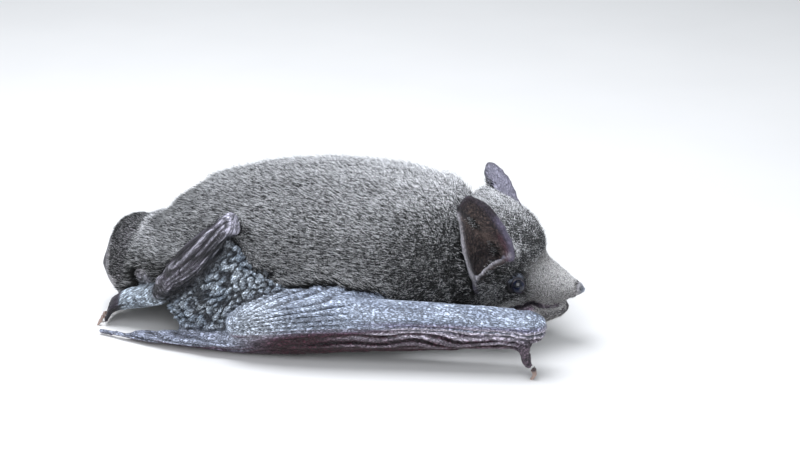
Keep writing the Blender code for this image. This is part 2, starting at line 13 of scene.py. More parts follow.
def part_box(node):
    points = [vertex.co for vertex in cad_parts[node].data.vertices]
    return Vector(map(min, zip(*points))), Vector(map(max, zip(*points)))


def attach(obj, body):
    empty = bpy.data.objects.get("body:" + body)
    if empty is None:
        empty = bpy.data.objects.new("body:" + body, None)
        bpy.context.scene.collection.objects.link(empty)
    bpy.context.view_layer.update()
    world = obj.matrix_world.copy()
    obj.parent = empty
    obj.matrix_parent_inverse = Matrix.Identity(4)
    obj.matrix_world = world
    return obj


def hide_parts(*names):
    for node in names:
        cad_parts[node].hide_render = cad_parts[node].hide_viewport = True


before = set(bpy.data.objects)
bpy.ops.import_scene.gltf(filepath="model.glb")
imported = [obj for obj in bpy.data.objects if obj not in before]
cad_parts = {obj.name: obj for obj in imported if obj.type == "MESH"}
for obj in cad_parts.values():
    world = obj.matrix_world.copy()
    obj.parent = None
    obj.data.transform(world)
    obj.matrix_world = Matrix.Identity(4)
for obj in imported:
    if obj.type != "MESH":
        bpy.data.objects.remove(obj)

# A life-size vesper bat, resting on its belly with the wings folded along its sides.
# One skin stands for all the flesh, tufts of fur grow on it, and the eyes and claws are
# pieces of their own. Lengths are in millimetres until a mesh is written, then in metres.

log = logging.getLogger("bat")

Array = np.ndarray
Triple = tuple[float, float, float]
Pair = tuple[float, float]
Socket = bpy.types.NodeSocket
Tree = bpy.types.NodeTree
Material = bpy.types.Material
Mesh = bpy.types.Mesh
Object = bpy.types.Object

MM = 0.001  # one millimetre, in the frame's metres
TINY = 1e-9  # keeps a division from failing where a length or sum is nothing
FLOOR = 0.02  # the lowest that skin and hair reach above the floor, in millimetres
# How lengths count when a line marks the head: sideways by half, so that it reaches through.
THROUGH = np.array((1.0, 0.5, 1.0))
TAILWARD = np.array((-1.0, 0.0, 0.0))


class Side(Enum):
    """The two sides of the body, each with the sign of its y."""

    RIGHT = -1
    LEFT = 1

    @property
    def word(self) -> str:
        """The side's name as the frame's nodes end in it."""
        return self.name.lower()


class Part(Enum):
    """The kinds of surface that the skin is made of."""

    COAT = ("trunk", "neck", "thigh")
    HEAD = ("head",)
    JAW = ("lower_jaw",)
    NOSE = ("nose_pad",)
    EAR = ("ear",)
    TRAGUS = ("tragus",)
    WING = ("upper_arm", "forearm", "wrist", "finger", "wing_fold")
    THUMB = ("thumb",)
    FLANK = ("flank_membrane",)
    HOOD = ("tail_membrane", "tail")
    SHANK = ("shank",)
    FOOT = ("foot",)

    @classmethod
    def of(cls, node: str) -> "Part":
        """The kind of surface that a node of flesh has.

        Args:
            node: The node's name.

        Returns:
            The part whose start of a name fits best.
        """
        fits = [(len(s), p) for p in cls for s in p.value if node.startswith(s)]
        return max(fits, key=lambda fit: fit[0])[1]


# ---------------------------------------------------------------- colour and nodes


def linear(code: str) -> tuple[float, float, float, float]:
    """Turns an sRGB hex colour to linear light.

    Args:
        code: The colour as six hex digits after a hash.

    Returns:
        Red, green, blue and an alpha of 1.
    """
    parts = [int(code[i : i + 2], 16) / 255 for i in (1, 3, 5)]
    light = [c / 12.92 if c <= 0.04045 else ((c + 0.055) / 1.055) ** 2.4 for c in parts]
    return (*light, 1.0)


def feed(socket: Socket, value: object) -> None:
    """Links an input to a socket, or sets it to a plain value.

    Args:
        socket: The input.
        value: A socket to link from, or a plain value.
    """
    if isinstance(value, Socket):
        socket.id_data.links.new(value, socket)
    else:
        socket.default_value = value


def add(tree: Tree, kind: str, links: dict | None = None, **settings: object) -> bpy.types.Node:
    """Adds a node with its settings, its plain values and its links.

    Args:
        tree: The node tree that it goes into.
        kind: The node's type.
        links: What each input takes: a socket to link from, or a plain value.
        **settings: The node's own settings.

    Returns:
        The new node.
    """
    node = tree.nodes.new(kind)
    for name, value in settings.items():
        setattr(node, name, value)
    for key, value in (links or {}).items():
        feed(node.inputs[key], value)
    return node


def per_metre(size_mm: float) -> float:
    """The scale that gives a pattern in Object coordinates one cell for each such size."""
    return 1 / (size_mm * MM)


class Shader:
    """A material being made, with short ways to read the skin's masks and mix colours."""

    def __init__(self, name: str) -> None:
        """Starts an empty material with an output and a Principled shader.

        Args:
            name: The material's name.
        """
        self.material = bpy.data.materials.new(name)
        self.material.use_nodes = True
        self.tree = self.material.node_tree
        self.tree.nodes.clear()
        self.base = add(self.tree, "ShaderNodeBsdfPrincipled")
        out = add(self.tree, "ShaderNodeOutputMaterial")
        self.tree.links.new(self.base.outputs[0], out.inputs[0])
        self.place = add(self.tree, "ShaderNodeTexCoord").outputs["Object"]

    def mask(self, name: str) -> Socket:
        """A number that the mesh carries under that name."""
        return add(self.tree, "ShaderNodeAttribute", attribute_name=name).outputs["Fac"]

    def follow(self, name: str) -> None:
        """Makes the patterns that come next follow the places kept under that name."""
        self.place = add(self.tree, "ShaderNodeAttribute", attribute_name=name).outputs["Vector"]

    def mix(self, share: object, low: object, high: object, blend: str = "MIX") -> Socket:
        """Mixes two colours.

        Args:
            share: How much of the second, a number or a socket.
            low: The first colour, a hex code or a socket.
            high: The second colour, a hex code or a socket.
            blend: The way of mixing.

        Returns:
            The socket of the mixed colour.
        """
        pair = [linear(c) if isinstance(c, str) else c for c in (low, high)]
        links = {0: share, 6: pair[0], 7: pair[1]}
        node = add(self.tree, "ShaderNodeMix", links, data_type="RGBA", blend_type=blend)
        return node.outputs[2]

    def math(self, operation: str, *values: object, clamp: bool = False) -> Socket:
        """A sum on numbers or sockets.

        Args:
            operation: The name of the Math node's operation.
            *values: What it works on, each a number or a socket.
            clamp: Whether the sum is kept from 0 to 1.

        Returns:
            The socket of the sum.
        """
        links = dict(enumerate(values))
        node = add(self.tree, "ShaderNodeMath", links, operation=operation, use_clamp=clamp)
        return node.outputs[0]

    def ramp(self, value: object, start: float, end: float, low: float = 0, high: float = 1) -> Socket:
        """Runs smoothly from low to high as a value goes from start to end.

        Args:
            value: The value, a number or a socket.
            start: Where the run starts.
            end: Where it ends.
            low: What it gives up to the start.
            high: What it gives from the end on.

        Returns:
            The socket of what it gives.
        """
        links = {"Value": value, 1: start, 2: end, 3: low, 4: high}
        kind = "ShaderNodeMapRange"
        return add(self.tree, kind, links, interpolation_type="SMOOTHSTEP").outputs[0]

    def grain(self, size_mm: float, detail: float = 2.0, stretch: tuple = (1, 1, 1)) -> Socket:
        """A cloudy noise.

        Args:
            size_mm: The size of one cloud.
            detail: How many finer layers it has.
            stretch: How much closer the clouds lie along x, y and z.

        Returns:
            The socket of the noise, about 0.5 on average.
        """
        at = add(self.tree, "ShaderNodeMapping", {0: self.place, 3: stretch}).outputs[0]
        links = {"Vector": at, "Scale": per_metre(size_mm), "Detail": detail}
        return add(self.tree, "ShaderNodeTexNoise", links).outputs["Fac"]

    def pebble(self, size_mm: float) -> Socket:
        """Rounded cells, as fine scaly skin has."""
        links = {"Vector": self.place, "Scale": per_metre(size_mm)}
        return add(self.tree, "ShaderNodeTexVoronoi", links).outputs["Distance"]

    def crackle(self, size_mm: float) -> Socket:
        """Fine creases between smooth cells: 0 in a crease and 1 away from one."""
        offset = self.math("SUBTRACT", self.grain(size_mm), 0.5)
        return self.ramp(self.math("ABSOLUTE", offset), 0.0, 0.15)

    def bump(self, height: object, depth_mm: float, under: object = None) -> Socket:
        """Adds relief to the surface.

        Args:
            height: The socket of the relief, from 0 to 1.
            depth_mm: How far 1 stands above 0.
            under: The socket of a coarser relief that this one lies on.

        Returns:
            The socket of the new normal.
        """
        links = {"Height": height, "Distance": depth_mm * MM, "Strength": 1.0}
        if under is not None:
            links["Normal"] = under
        return add(self.tree, "ShaderNodeBump", links).outputs[0]

    def finish(self, values: dict[str, object]) -> Material:
        """Gives the shader its inputs.

        Args:
            values: What each input takes, by its name.

        Returns:
            The finished material.
        """
        for name, value in values.items():
            feed(self.base.inputs[name], value)
        return self.material


# ---------------------------------------------------------------- surfaces in numbers


def ease(value: Array, start: float, end: float) -> Array:
    """Runs smoothly from 0 to 1 as a value goes from start to end."""
    t = np.clip((value - start) / (end - start), 0, 1)
    return t * t * (3 - 2 * t)


def bell(distance: Array, width: float) -> Array:
    """A rounded hill: 1 at no distance, falling away over that width."""
    return np.exp(-((distance / width) ** 2))


def unit(vectors: Array) -> Array:
    """Each vector at a length of 1."""
    return vectors / np.maximum(np.linalg.norm(vectors, axis=-1, keepdims=True), TINY)


def turbulence(points: Array, size: float, stretch: tuple = (1, 1, 1)) -> Array:
    """A smooth noise at each point.

    Args:
        points: The places, in millimetres.
        size: The size of one swell, in millimetres.
        stretch: How much closer the swells lie along x, y and z.

    Returns:
        A number for each point, from about -1 to 1.
    """
    at = points * np.array(stretch) / size
    return np.array([noise.noise(Vector(p)) for p in at])


def drawn_out(points: Array, way: tuple, middle: Array, share: float) -> Array:
    """Squeezes places along one way, so that a pattern on them is drawn out along it.

    Args:
        points: The places.
        way: The way that the pattern runs.
        middle: The place that stays where it is.
        share: What is left of a length along the way.

    Returns:
        The squeezed places.
    """
    way = unit(np.array(way, float))
    return points - np.outer((points - middle) @ way, way) * (1 - share)


def pleat(count: Array) -> Array:
    """Narrow lines at every whole number: 1 on a line and 0 between two."""
    return (1 - np.abs(np.sin(math.pi * count))) ** 2


def to_line(points: Array, line: Array) -> tuple[Array, Array]:
    """How far each point is from a bent line.

    Args:
        points: The places.
        line: The line's corners, in order.

    Returns:
        The distance of each point, and how far along the line its nearest place is,
        from 0 to 1.
    """
    best = np.full(len(points), np.inf)
    along = np.zeros(len(points))
    for i, (a, b) in enumerate(zip(line[:-1], line[1:])):
        t = np.clip((points - a) @ (b - a) / max((b - a) @ (b - a), TINY), 0, 1)
        far = np.linalg.norm(points - (a + t[:, None] * (b - a)), axis=1)
        near = far < best
        best[near] = far[near]
        along[near] = (i + t[near]) / (len(line) - 1)
    return best, along


class Relief:
    """A mesh held as numbers while its shape and masks are worked on."""

    PULL = 0.55  # the share of an evening step, and of the step that undoes its shrinking
    PUSH = -0.57

    def __init__(self, mesh: Mesh) -> None:
        """Reads the mesh's points and edges, in millimetres.

        Args:
            mesh: The mesh to work on.
        """
        self.mesh = mesh
        self.at = np.empty((len(mesh.vertices), 3))
        mesh.vertices.foreach_get("co", self.at.reshape(-1))
        self.at /= MM
        self.edges = np.empty((len(mesh.edges), 2), np.int64)
        mesh.edges.foreach_get("vertices", self.edges.reshape(-1))
        count = np.bincount(self.edges.ravel(), minlength=len(self.at))
        self.neighbours = np.maximum(count, 1)

    def spread(self, values: Array, rounds: int, share: float = 0.5) -> Array:
        """Evens values out over the surface.

        Args:
            values: One number or vector for each point.
            rounds: How many times each point moves towards its neighbours.
            share: How far it moves each time.

        Returns:
            The evened values.
        """
        a, b = self.edges.T
        size = len(self.at)
        out = values.astype(float).reshape(size, -1)
        for _ in range(rounds):
            for k in range(out.shape[1]):
                column = out[:, k]
                total = np.bincount(a, column[b], size) + np.bincount(b, column[a], size)
                out[:, k] = column + share * (total / self.neighbours - column)
        return out.reshape(values.shape)

    def even(self, rounds: int) -> None:
        """Takes the steps out of the shape without shrinking it.

        Args:
            rounds: How many times the shape is evened.
        """
        for _ in range(rounds):
            self.at = self.spread(self.at, 1, self.PULL)
            self.at = self.spread(self.at, 1, self.PUSH)

    def far(self, place: Array) -> Array:
        """How far each point is from a place."""
        return np.linalg.norm(self.at - place, axis=1)

    def raise_by(self, outward: Array, height: Array) -> None:
        """Moves each point that many millimetres along its direction."""
        self.at += outward * height[:, None]

    def keep_above(self, height: float) -> None:
        """Lifts any point that is lower than a height to it."""
        self.at[:, 2] = np.maximum(self.at[:, 2], height)

    def normals(self, rounds: int = 0) -> Array:
        """The outward direction at each point.

        Args:
            rounds: How many times the directions are evened out.

        Returns:
            A direction for each point.
        """
        self.write()
        out = np.empty((len(self.at), 3))
        self.mesh.vertices.foreach_get("normal", out.reshape(-1))
        return unit(self.spread(out, rounds))

    def write(self) -> None:
        """Puts the points back into the mesh."""
        self.mesh.vertices.foreach_set("co", (self.at * MM).ravel())
        self.mesh.update()

    def mark(self, name: str, values: Array) -> None:
        """Keeps a layer on the mesh.

        Args:
            name: The layer's name.
            values: A number or vector for each point.
        """
        kind = "FLOAT" if values.ndim == 1 else "FLOAT_VECTOR"
        layer = self.mesh.attributes.get(name) or self.mesh.attributes.new(name, kind, "POINT")
        key = "value" if values.ndim == 1 else "vector"
        layer.data.foreach_set(key, values.astype(np.float32).ravel())

    def mark_all(self, layers: dict[str, Array]) -> None:
        """Keeps several layers, each under its name."""
        for name, values in layers.items():
            self.mark(name, values)

    def marked(self, name: str) -> Array:
        """Reads a layer back from the mesh.

        Args:
            name: The layer's name.

        Returns:
            A number for each point.
        """
        out = np.empty(len(self.at), np.float32)
        self.mesh.attributes[name].data.foreach_get("value", out)
        return out.astype(float)


def object_of(name: str, mesh: Mesh) -> Object:
    """Shows a mesh as an object at the origin, shaded smooth.

    Args:
        name: The object's name.
        mesh: Its mesh.

    Returns:
        The object.
    """
    shown = bpy.data.objects.new(name, mesh)
    bpy.context.scene.collection.objects.link(shown)
    mesh.shade_smooth()
    return shown


def settled(source: Object, name: str) -> Object:
    """Turns an object's modifiers into a plain mesh, and takes the object itself away.

    Args:
        source: The object with its modifiers.
        name: The new piece's name.

    Returns:
        The piece.
    """
    seen = source.evaluated_get(bpy.context.evaluated_depsgraph_get())
    mesh = bpy.data.meshes.new_from_object(seen)
    mesh.name = name
    bpy.data.objects.remove(source)
    return object_of(name, mesh)


# ---------------------------------------------------------------- where things are


class Landmarks:
    """The places that the details are measured from, all read from the frame."""

    def __init__(self) -> None:
        """Reads the boxes of the nodes that the details hang on."""
        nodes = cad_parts
        self.claws = [n for n in nodes if "claw" in n]
        self.flesh = [n for n in nodes if not n.startswith("eye") and n not in self.claws]
        eyes = [self.box(f"eye_{s.word}") for s in Side]
        self.middle = float(sum((lo + hi)[1] for lo, hi in eyes) / 4)
        self.eye = {s: (lo + hi) / 2 for s, (lo, hi) in zip(Side, eyes)}
        self.eye_radius = float(max(eyes[0][1] - eyes[0][0])) / 2
        self.eye_x, _, self.eye_z = (float(v) for v in self.eye[Side.RIGHT])
        self.nose_x = float(self.box("nose_pad")[1][0])  # the tip of the nose

    @staticmethod
    def box(node: str) -> tuple[Array, Array]:
        """The lowest and highest corner of a node, in millimetres."""
        return tuple(np.array(corner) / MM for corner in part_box(node))

    def from_eye(self, side: Side, place: Triple) -> Array:
        """A place on the head, given from the right eye's centre and mirrored to a side.

        Args:
            side: The side that it is wanted on.
            place: Millimetres forwards, outwards and up from the eye.

        Returns:
            The place in the frame, in millimetres.
        """
        return self.eye[side] + np.array((place[0], place[1] * side.value, place[2]))

    def outward(self, at: Array, side: Side) -> Array:
        """How far each place is from the animal's middle towards a side."""
        return (at[:, 1] - self.middle) * side.value


# ---------------------------------------------------------------- the skin


@dataclass(frozen=True)
class Eyelids:
    """The lids round each eye: a thin rim that hugs the ball, under a full upper lid.

    Angles are seen from the middle of the eye, away from the way that it looks.
    """

    lean: Triple = (0.22, 1.0, 0.02)  # the way the eye looks
    opening_deg: Pair = (42.0, 63.0)  # level with the eye, and above or below
    hang_deg: float = 3.0  # how far the upper lid hangs down
    turn_deg: Pair = (4.0, 5.0)  # inside and outside the opening: the rim's face
    rim_deg: float = 12.0  # from the opening to the lid's crest
    crest_deg: float = 7.0  # how wide the crest is
    full_deg: Pair = (13.0, 14.0)  # the upper lid's fullest place, and its width
    fade_deg: Pair = (8.0, 22.0)  # where the upper lid ends, and how softly
    rim_tint_deg: Pair = (-6.0, 15.0)  # the dark rim's place and width
    lid_tint_deg: Pair = (14.0, 13.0)  # the upper lid's
    # These are shares of the eye's radius.
    inner: float = 0.80  # where the skin passes behind the ball
    rim: float = 1.14  # at the crest of the lid
    crest: float = 0.06  # how far the crest stands above the lid
    upper: float = 0.12  # how much fuller the upper lid is
    reach: float = 2.1  # where the lid meets the cheek

    def shape(self, relief: Relief, marks: Landmarks) -> tuple[Array, Array]:
        """Opens the skin round both eyes.

        Args:
            relief: The skin.
            marks: Where the eyes are.

        Returns:
            How near each point is to a rim and how much it is on an upper lid, 0 to 1.
        """
        near_rim = np.zeros(len(relief.at))
        upper_lid = np.zeros(len(relief.at))
        level, upright = self.opening_deg
        for side in Side:
            way = unit(np.array(self.lean) * (1, side.value, 1))
            off = relief.at - marks.eye[side]
            far = np.linalg.norm(off, axis=1)
            ahead = off @ way
            turn = np.degrees(np.arccos(np.clip(ahead / np.maximum(far, TINY), -1, 1)))
            flat = off - np.outer(ahead, way)
            up = flat[:, 2] / np.maximum(np.linalg.norm(flat, axis=1), TINY)
            full = ease(up, 0.1, 0.9)
            opening = level + (upright - level) * up**2 - self.hang_deg * ease(up, 0.2, 1.0)
            inside, outside = opening - self.turn_deg[0], opening + self.turn_deg[1]
            top = opening + self.rim_deg
            lid = self.inner + (self.rim - self.inner) * ease(turn, inside, outside)
            crest = self.rim - self.crest + self.crest * bell(turn - top, self.crest_deg)
            crest += self.upper * full * bell(turn - top - self.full_deg[0], self.full_deg[1])
            lid = np.where(turn > outside, crest, lid) * marks.eye_radius
            end = top + self.fade_deg[0] * full
            near = far < self.reach * marks.eye_radius
            held = near * (1 - ease(turn, end, end + self.fade_deg[1]))
            new = far + (lid - far) * held
            relief.at = marks.eye[side] + off * (new / np.maximum(far, TINY))[:, None]
            place, width = self.rim_tint_deg
            near_rim += held * bell(turn - top - place, width)
            place, width = self.lid_tint_deg
            upper_lid += near * ease(up, 0.15, 0.7) * bell(turn - top - place, width)
        return near_rim, upper_lid


@dataclass(frozen=True)
class Mouth:
    """The closed mouth: a groove between two soft lips, running to under the eye."""

    # Millimetres forwards, outwards and up from the eye, from the corner to the front.
    line: tuple[Triple, ...] = (
        (-0.5, -0.9, -2.9), (0.19, -1.08, -2.71), (0.71, -1.5, -2.56), (1.26, -1.7, -2.44),
        (2.12, -1.7, -2.8), (2.73, -1.8, -3.05), (3.78, -2.35, -3.0), (4.6, -3.2, -2.85),
        (4.9, -3.8, -2.8),
    )
    groove: float = 0.55  # how deep
    groove_width: float = 0.25
    cheek: Triple = (2.7, -1.9, 0.5)  # the swelling over the glands
    cheek_rise: float = 0.24
    cheek_size: float = 1.3
    lip: float = 0.34  # how far the lips swell
    lip_width: float = 0.5
    lip_middle: float = 0.66  # from the groove
    upper_share: float = 0.25  # how much the upper lip swells, of the lower one's swelling
    past_middle: float = 0.25  # how far one side's mouth reaches over the nose's middle

    def shape(self, relief: Relief, marks: Landmarks) -> tuple[Array, Array]:
        """Presses the mouth into the muzzle.

        Args:
            relief: The skin.
            marks: Where the head's features are.

        Returns:
            How deep in the groove each point lies, and how much it is on a lip, 0 to 1.
        """
        outward = relief.normals(3)
        deep = np.zeros(len(relief.at))
        lips = np.zeros(len(relief.at))
        for side in Side:
            line = np.array([marks.from_eye(side, p) for p in self.line])
            # The groove is a wall that runs in through the lips.
            far, along = to_line(relief.at * THROUGH, line * THROUGH)
            own = marks.outward(relief.at, side) > -self.past_middle
            own = own * (relief.at[:, 0] > line[0][0] - 0.4)
            groove = bell(far, self.groove_width) * own * (1 - 0.5 * ease(along, 0.7, 1))
            deep = np.maximum(deep, groove)
            below = relief.at[:, 2] < np.interp(relief.at[:, 0], line[:, 0], line[:, 2])
            swell = bell(far - self.lip_middle, self.lip_width) * own
            swell *= np.where(below, 1.0, self.upper_share) * (1 - 0.6 * ease(along, 0.6, 1))
            # Bare lip shows along the groove, and below it near the mouth's corner.
            swollen = swell * below * (1 - ease(along, 0.3, 0.6))
            lips = np.maximum(lips, np.maximum(own * bell(far, 0.32), swollen))
            cheek = bell(relief.far(marks.from_eye(side, self.cheek)), self.cheek_size)
            rise = self.lip * swell - self.groove * groove + self.cheek_rise * cheek
            relief.raise_by(outward, rise)
        return deep, lips


@dataclass(frozen=True)
class Nostrils:
    """Two crescent nostrils at the sides of the nose pad, with a furrow between them."""

    ahead: float = 0.12  # behind the nose pad's front
    size: Triple = (1.2, 1.0, 0.75)  # how much longer and lower than round
    apart: float = 0.52
    height: float = 0.56  # of the pad's height
    pit: float = 0.42
    pit_width: float = 0.24
    rim: float = 0.12
    furrow: float = 0.1
    furrow_width: float = 0.14

    def shape(self, relief: Relief, marks: Landmarks) -> Array:
        """Hollows both nostrils.

        Args:
            relief: The skin.
            marks: Where the head's features are.

        Returns:
            How deep in a nostril each point lies, from 0 to 1.
        """
        low, high = marks.box("nose_pad")
        outward = relief.normals(2)
        deep = np.zeros(len(relief.at))
        level = low[2] + (high[2] - low[2]) * self.height
        for side in Side:
            aside = marks.middle + self.apart * side.value
            off = relief.at - np.array((marks.nose_x - self.ahead, aside, level))
            far = np.linalg.norm(off / self.size, axis=1)
            pit = bell(far, self.pit_width)
            ring = bell(far - 1.9 * self.pit_width, self.pit_width * 0.6)
            deep = np.maximum(deep, pit)
            relief.raise_by(outward, self.rim * ring - self.pit * pit)
        between = bell(relief.at[:, 1] - marks.middle, self.furrow_width)
        between *= ease(relief.at[:, 0], marks.nose_x - 1.0, marks.nose_x - 0.3)
        relief.raise_by(outward, -self.furrow * between)
        return deep


# The tragus's upper edge, in millimetres forwards, outwards and up from the eye.
TRAGUS_EDGE = (
    (-0.7, 1.4, 3.6), (-1.4, 2.0, 3.4), (-2.3, 2.7, 3.15),
    (-2.85, 3.05, 2.7), (-3.4, 3.25, 2.05), (-3.7, 3.3, 1.6),
)


@dataclass(frozen=True)
class EarLine:
    """A line on the ears: where it runs, how wide it is and how far it stands up."""

    name: str
    # Millimetres forwards, outwards and up from the eye, in order.
    places: tuple[Triple, ...]
    width: float
    rise: float


@dataclass(frozen=True)
class EarFolds:
    """The ears' soft detail: rolled rims, a fold and a ridge inside, and a lobe at the foot."""

    lines: tuple[EarLine, ...] = (
        EarLine("ear_front", ((-1.5, 1.0, 1.7), (-0.6, 1.15, 2.7), (-0.4, 1.2, 3.6), (-0.6, 1.35, 4.8),
                              (-1.25, 1.6, 6.2), (-1.95, 1.95, 7.6), (-2.7, 2.3, 8.8),
                              (-3.4, 2.45, 9.5)), 0.42, 0.1),
        EarLine("ear_top", ((-2.2, 2.1, 8.2), (-2.96, 2.4, 9.1), (-3.8, 2.45, 9.7), (-4.6, 2.5, 9.75),
                            (-5.3, 2.6, 9.4), (-5.75, 2.7, 8.6)), 0.5, 0.0),
        EarLine("ear_rear", ((-5.75, 2.85, 8.1), (-5.5, 3.05, 7.0), (-5.3, 3.15, 5.9), (-5.1, 3.2, 4.6),
                             (-4.8, 3.05, 3.2), (-4.25, 2.95, 1.7), (-3.55, 2.4, 0.3)), 0.26, 0.03),
        EarLine("ear_fold", ((-5.7, 2.75, 8.7), (-5.0, 2.55, 8.05), (-4.3, 2.0, 7.1),
                             (-3.7, 1.6, 6.3)), 0.22, 0.1),
        EarLine("ear_ridge", ((-4.5, 1.9, 7.4), (-3.25, 1.15, 5.6), (-2.3, 0.75, 4.25),
                              (-1.8, 0.9, 3.5)), 0.55, 0.22),
        EarLine("tragus_edge", TRAGUS_EDGE, 0.2, 0.06),
        EarLine("lobe", ((-4.0, 2.6, 0.3), (-3.4, 1.9, -0.6), (-2.8, 1.34, -0.9),
                         (-2.0, 0.8, -1.2)), 0.34, 0.14),
        # The last two lines only tint: a painted sheen at the ear's front and painted shade deep in it.
        EarLine("ear_flush", ((-0.75, 1.3, 2.8), (-0.9, 1.4, 4.0), (-1.6, 1.5, 5.4)), 0.42, 0.0),
        EarLine("ear_deep", ((-4.0, 2.5, 2.6), (-3.2, 1.6, 3.6), (-2.4, 1.0, 4.0)), 0.95, 0.0),
    )
    wave: float = 0.1  # the height of the faint ripples all over
    wave_mm: float = 1.5  # their size

    def shape(self, relief: Relief, ear: Array, marks: Landmarks) -> None:
        """Raises every line and marks it on the skin.

        Args:
            relief: The skin.
            ear: How much each point belongs to an ear.
            marks: Where the head's features are.
        """
        outward = relief.normals(1)
        ripple = np.abs(turbulence(relief.at, self.wave_mm, (1, 1, 0.45)))
        rise = ear * self.wave * (0.3 - ripple)
        for line in self.lines:
            mark = np.zeros(len(relief.at))
            for side in Side:
                places = np.array([marks.from_eye(side, p) for p in line.places])
                mark += bell(to_line(relief.at * THROUGH, places * THROUGH)[0], line.width)
            mark *= 1 if line.name == "lobe" else ear
            rise += line.rise * mark
            relief.mark(line.name, np.clip(mark, 0, 1))
        relief.raise_by(outward, rise)


@dataclass(frozen=True)
class Cells:
    """Rounded cells with cracks between them."""

    size: float
    limit: float  # how flat the cells' tops are, and how deep the cracks
    shift: float = 0.0  # moves the pattern, so that two of them don't fall together

    def read(self, flow: Array) -> Array:
        """At each place: 0 on a cell and minus the limit in a crack."""
        return np.minimum(np.abs(turbulence(flow + self.shift, self.size)), self.limit) - self.limit


@dataclass(frozen=True)
class Wrinkles:
    """The bare skin's folds, puckers, ridges and knobs, and the tints that go with them, painted shade
    and highlight among them.
    """

    # The forearm's middle line, as x and z.
    forearm: tuple[Pair, ...] = (
        (-6.9, 3.7), (-3.6, 4.3), (1.0, 5.0), (8.0, 5.4), (20.5, 5.2),
    )
    fine: Cells = Cells(0.35, 0.3, 7.3)
    knots: Cells = Cells(0.62, 0.32)  # the flank's puckers
    small: Cells = Cells(0.36, 0.3, 3.1)  # the finer ones among them
    long: Cells = Cells(0.7, 0.3)  # the limbs', drawn out along them
    fold_spacing: float = 0.58  # between the folds that run with the forearm
    fold_depth: float = 0.42
    elbow: Pair = (-8.2, 2.9)  # the x and z that the elbow's folds fan out from
    fan_spacing: float = 0.19  # of the slope between two of those folds
    # The small knobs of the hind foot behind, under the hood's edge: x, sideways and z.
    knobs: tuple[Triple, ...] = (
        (-19.7, 5.4, 5.4), (-18.85, 5.75, 5.55), (-18.3, 6.0, 5.1),
    )
    knob: float = 0.4  # the size of one
    knob_rise: float = 0.6
    bed: Pair = (0.55, 1.1)  # the hairless place ahead of a knob, and its size
    hood_corner: Pair = (-22.6, 8.8)  # the x and z of the hood's upper corner
    pit: Pair = (-11.7, 5.5)  # the x and z of the deep hollow behind the shank
    knee: float = 1.5  # the size of the knee's knob
    knee_rise: float = 0.42
    knee_top: Pair = (12.2, 13.1)  # the height where the leg's swelling ends
    ridge_spacing: float = 0.45  # between the ridges down a shank
    # How the patterns are drawn out on a part: the way they run and what is left of a length.
    ways: dict[Part, tuple[Triple, float]] = field(
        default_factory=lambda: {
            Part.EAR: ((-0.35, 0.15, 0.93), 0.4),
            Part.HOOD: ((1, 0, 0.1), 0.3),
            Part.FLANK: ((0.7, 0, 0.7), 0.55),
        }
    )
    wing_share: float = 0.4
    leg_share: float = 0.16
    # The tints' places along the body: the x where each begins and where it is full.
    # Where the painted shade on the wing's lower side begins and is full, along x.
    dark_wing: Pair = (-9.0, -2.0)  # the wing's lower side
    blush: Pair = (3.0, 9.0)
    cap: Pair = (-21.3, -21.7)  # the dark end of the foot
    hood_rim: Pair = (-23.6, -24.7)
    band: Pair = (-21.05, 0.22)  # the pale band before the cap: its x and its width
    elbow_patch: Triple = (3.0, 4.6, 2.8)  # how far ahead of the elbow, its z and its size
    # How far below the forearm's middle line each tint of the wing begins and is full: the painted
    # shade on its lower side, and the darker painted shade along its lower edge.
    under: Pair = (0.35, 1.5)
    edge: Pair = (1.15, 1.8)
    blush_below: Pair = (0.25, 0.3)  # its middle and its width

    def tint(self, relief: Relief, masks: dict, marks: Landmarks) -> None:
        """Marks the painted shade on the ears' hollow side and the wings' lower side, the painted
        highlight on the knees, and the other tints.

        Args:
            relief: The skin.
            masks: How much each point belongs to each part.
            marks: Where things are.
        """
        x, _, z = relief.at.T
        wing, foot = masks[Part.WING], masks[Part.FOOT]
        side = np.sign(relief.at[:, 1] - marks.middle)
        out = relief.normals(1)
        # The ear's hollow side is darker skin with painted shade, picked by the way the surface faces.
        facing = out @ (0.55, 0, -0.2) + 0.8 * out[:, 1] * side
        below = self._below_forearm(relief)
        wavy = below + 0.35 * turbulence(relief.at, 2.5, (0.3, 1, 1))
        forward = ease(x, *self.dark_wing)
        # Painted shade: the wing is darker on its lower side and wherever it faces down, over a maroon
        # tone of its own, and darkest along its lower edge.
        under = ease(wavy, *self.under) * (0.2 + 0.8 * forward)
        under = np.maximum(under, 1 - ease(out[:, 2], -0.8, -0.3))
        middle, width = self.blush_below
        blush = bell(below - middle + 0.2 * turbulence(relief.at, 3.0, (0.3, 1, 1)), width)
        ahead, height, size = self.elbow_patch
        elbow = bell(np.hypot(x - self.elbow[0] - ahead, z - height), size)
        soft = masks[Part.EAR] + masks[Part.HEAD] + masks[Part.NOSE]
        relief.mark_all({
            "ear_hollow": masks[Part.EAR] * ease(facing, -0.15, 0.35),
            "under": wing * under,
            "edge": wing * ease(wavy, *self.edge) * forward,
            "blush": 0.6 * wing * blush * ease(x, *self.blush),
            "elbow": 0.85 * wing * elbow,
            # A painted highlight on the knee, over its own lavender tone.
            "knee": ease(self._knees(relief, marks), 0.2, 0.6) * masks[Part.SHANK],
            "cap": foot * ease(x, *self.cap),
            "band": foot * bell(x - self.band[0], self.band[1]),
            "hood_rim": masks[Part.HOOD] * ease(x, *self.hood_rim),
            "creased": np.clip(1 - 0.5 * soft, 0, 1),
        })

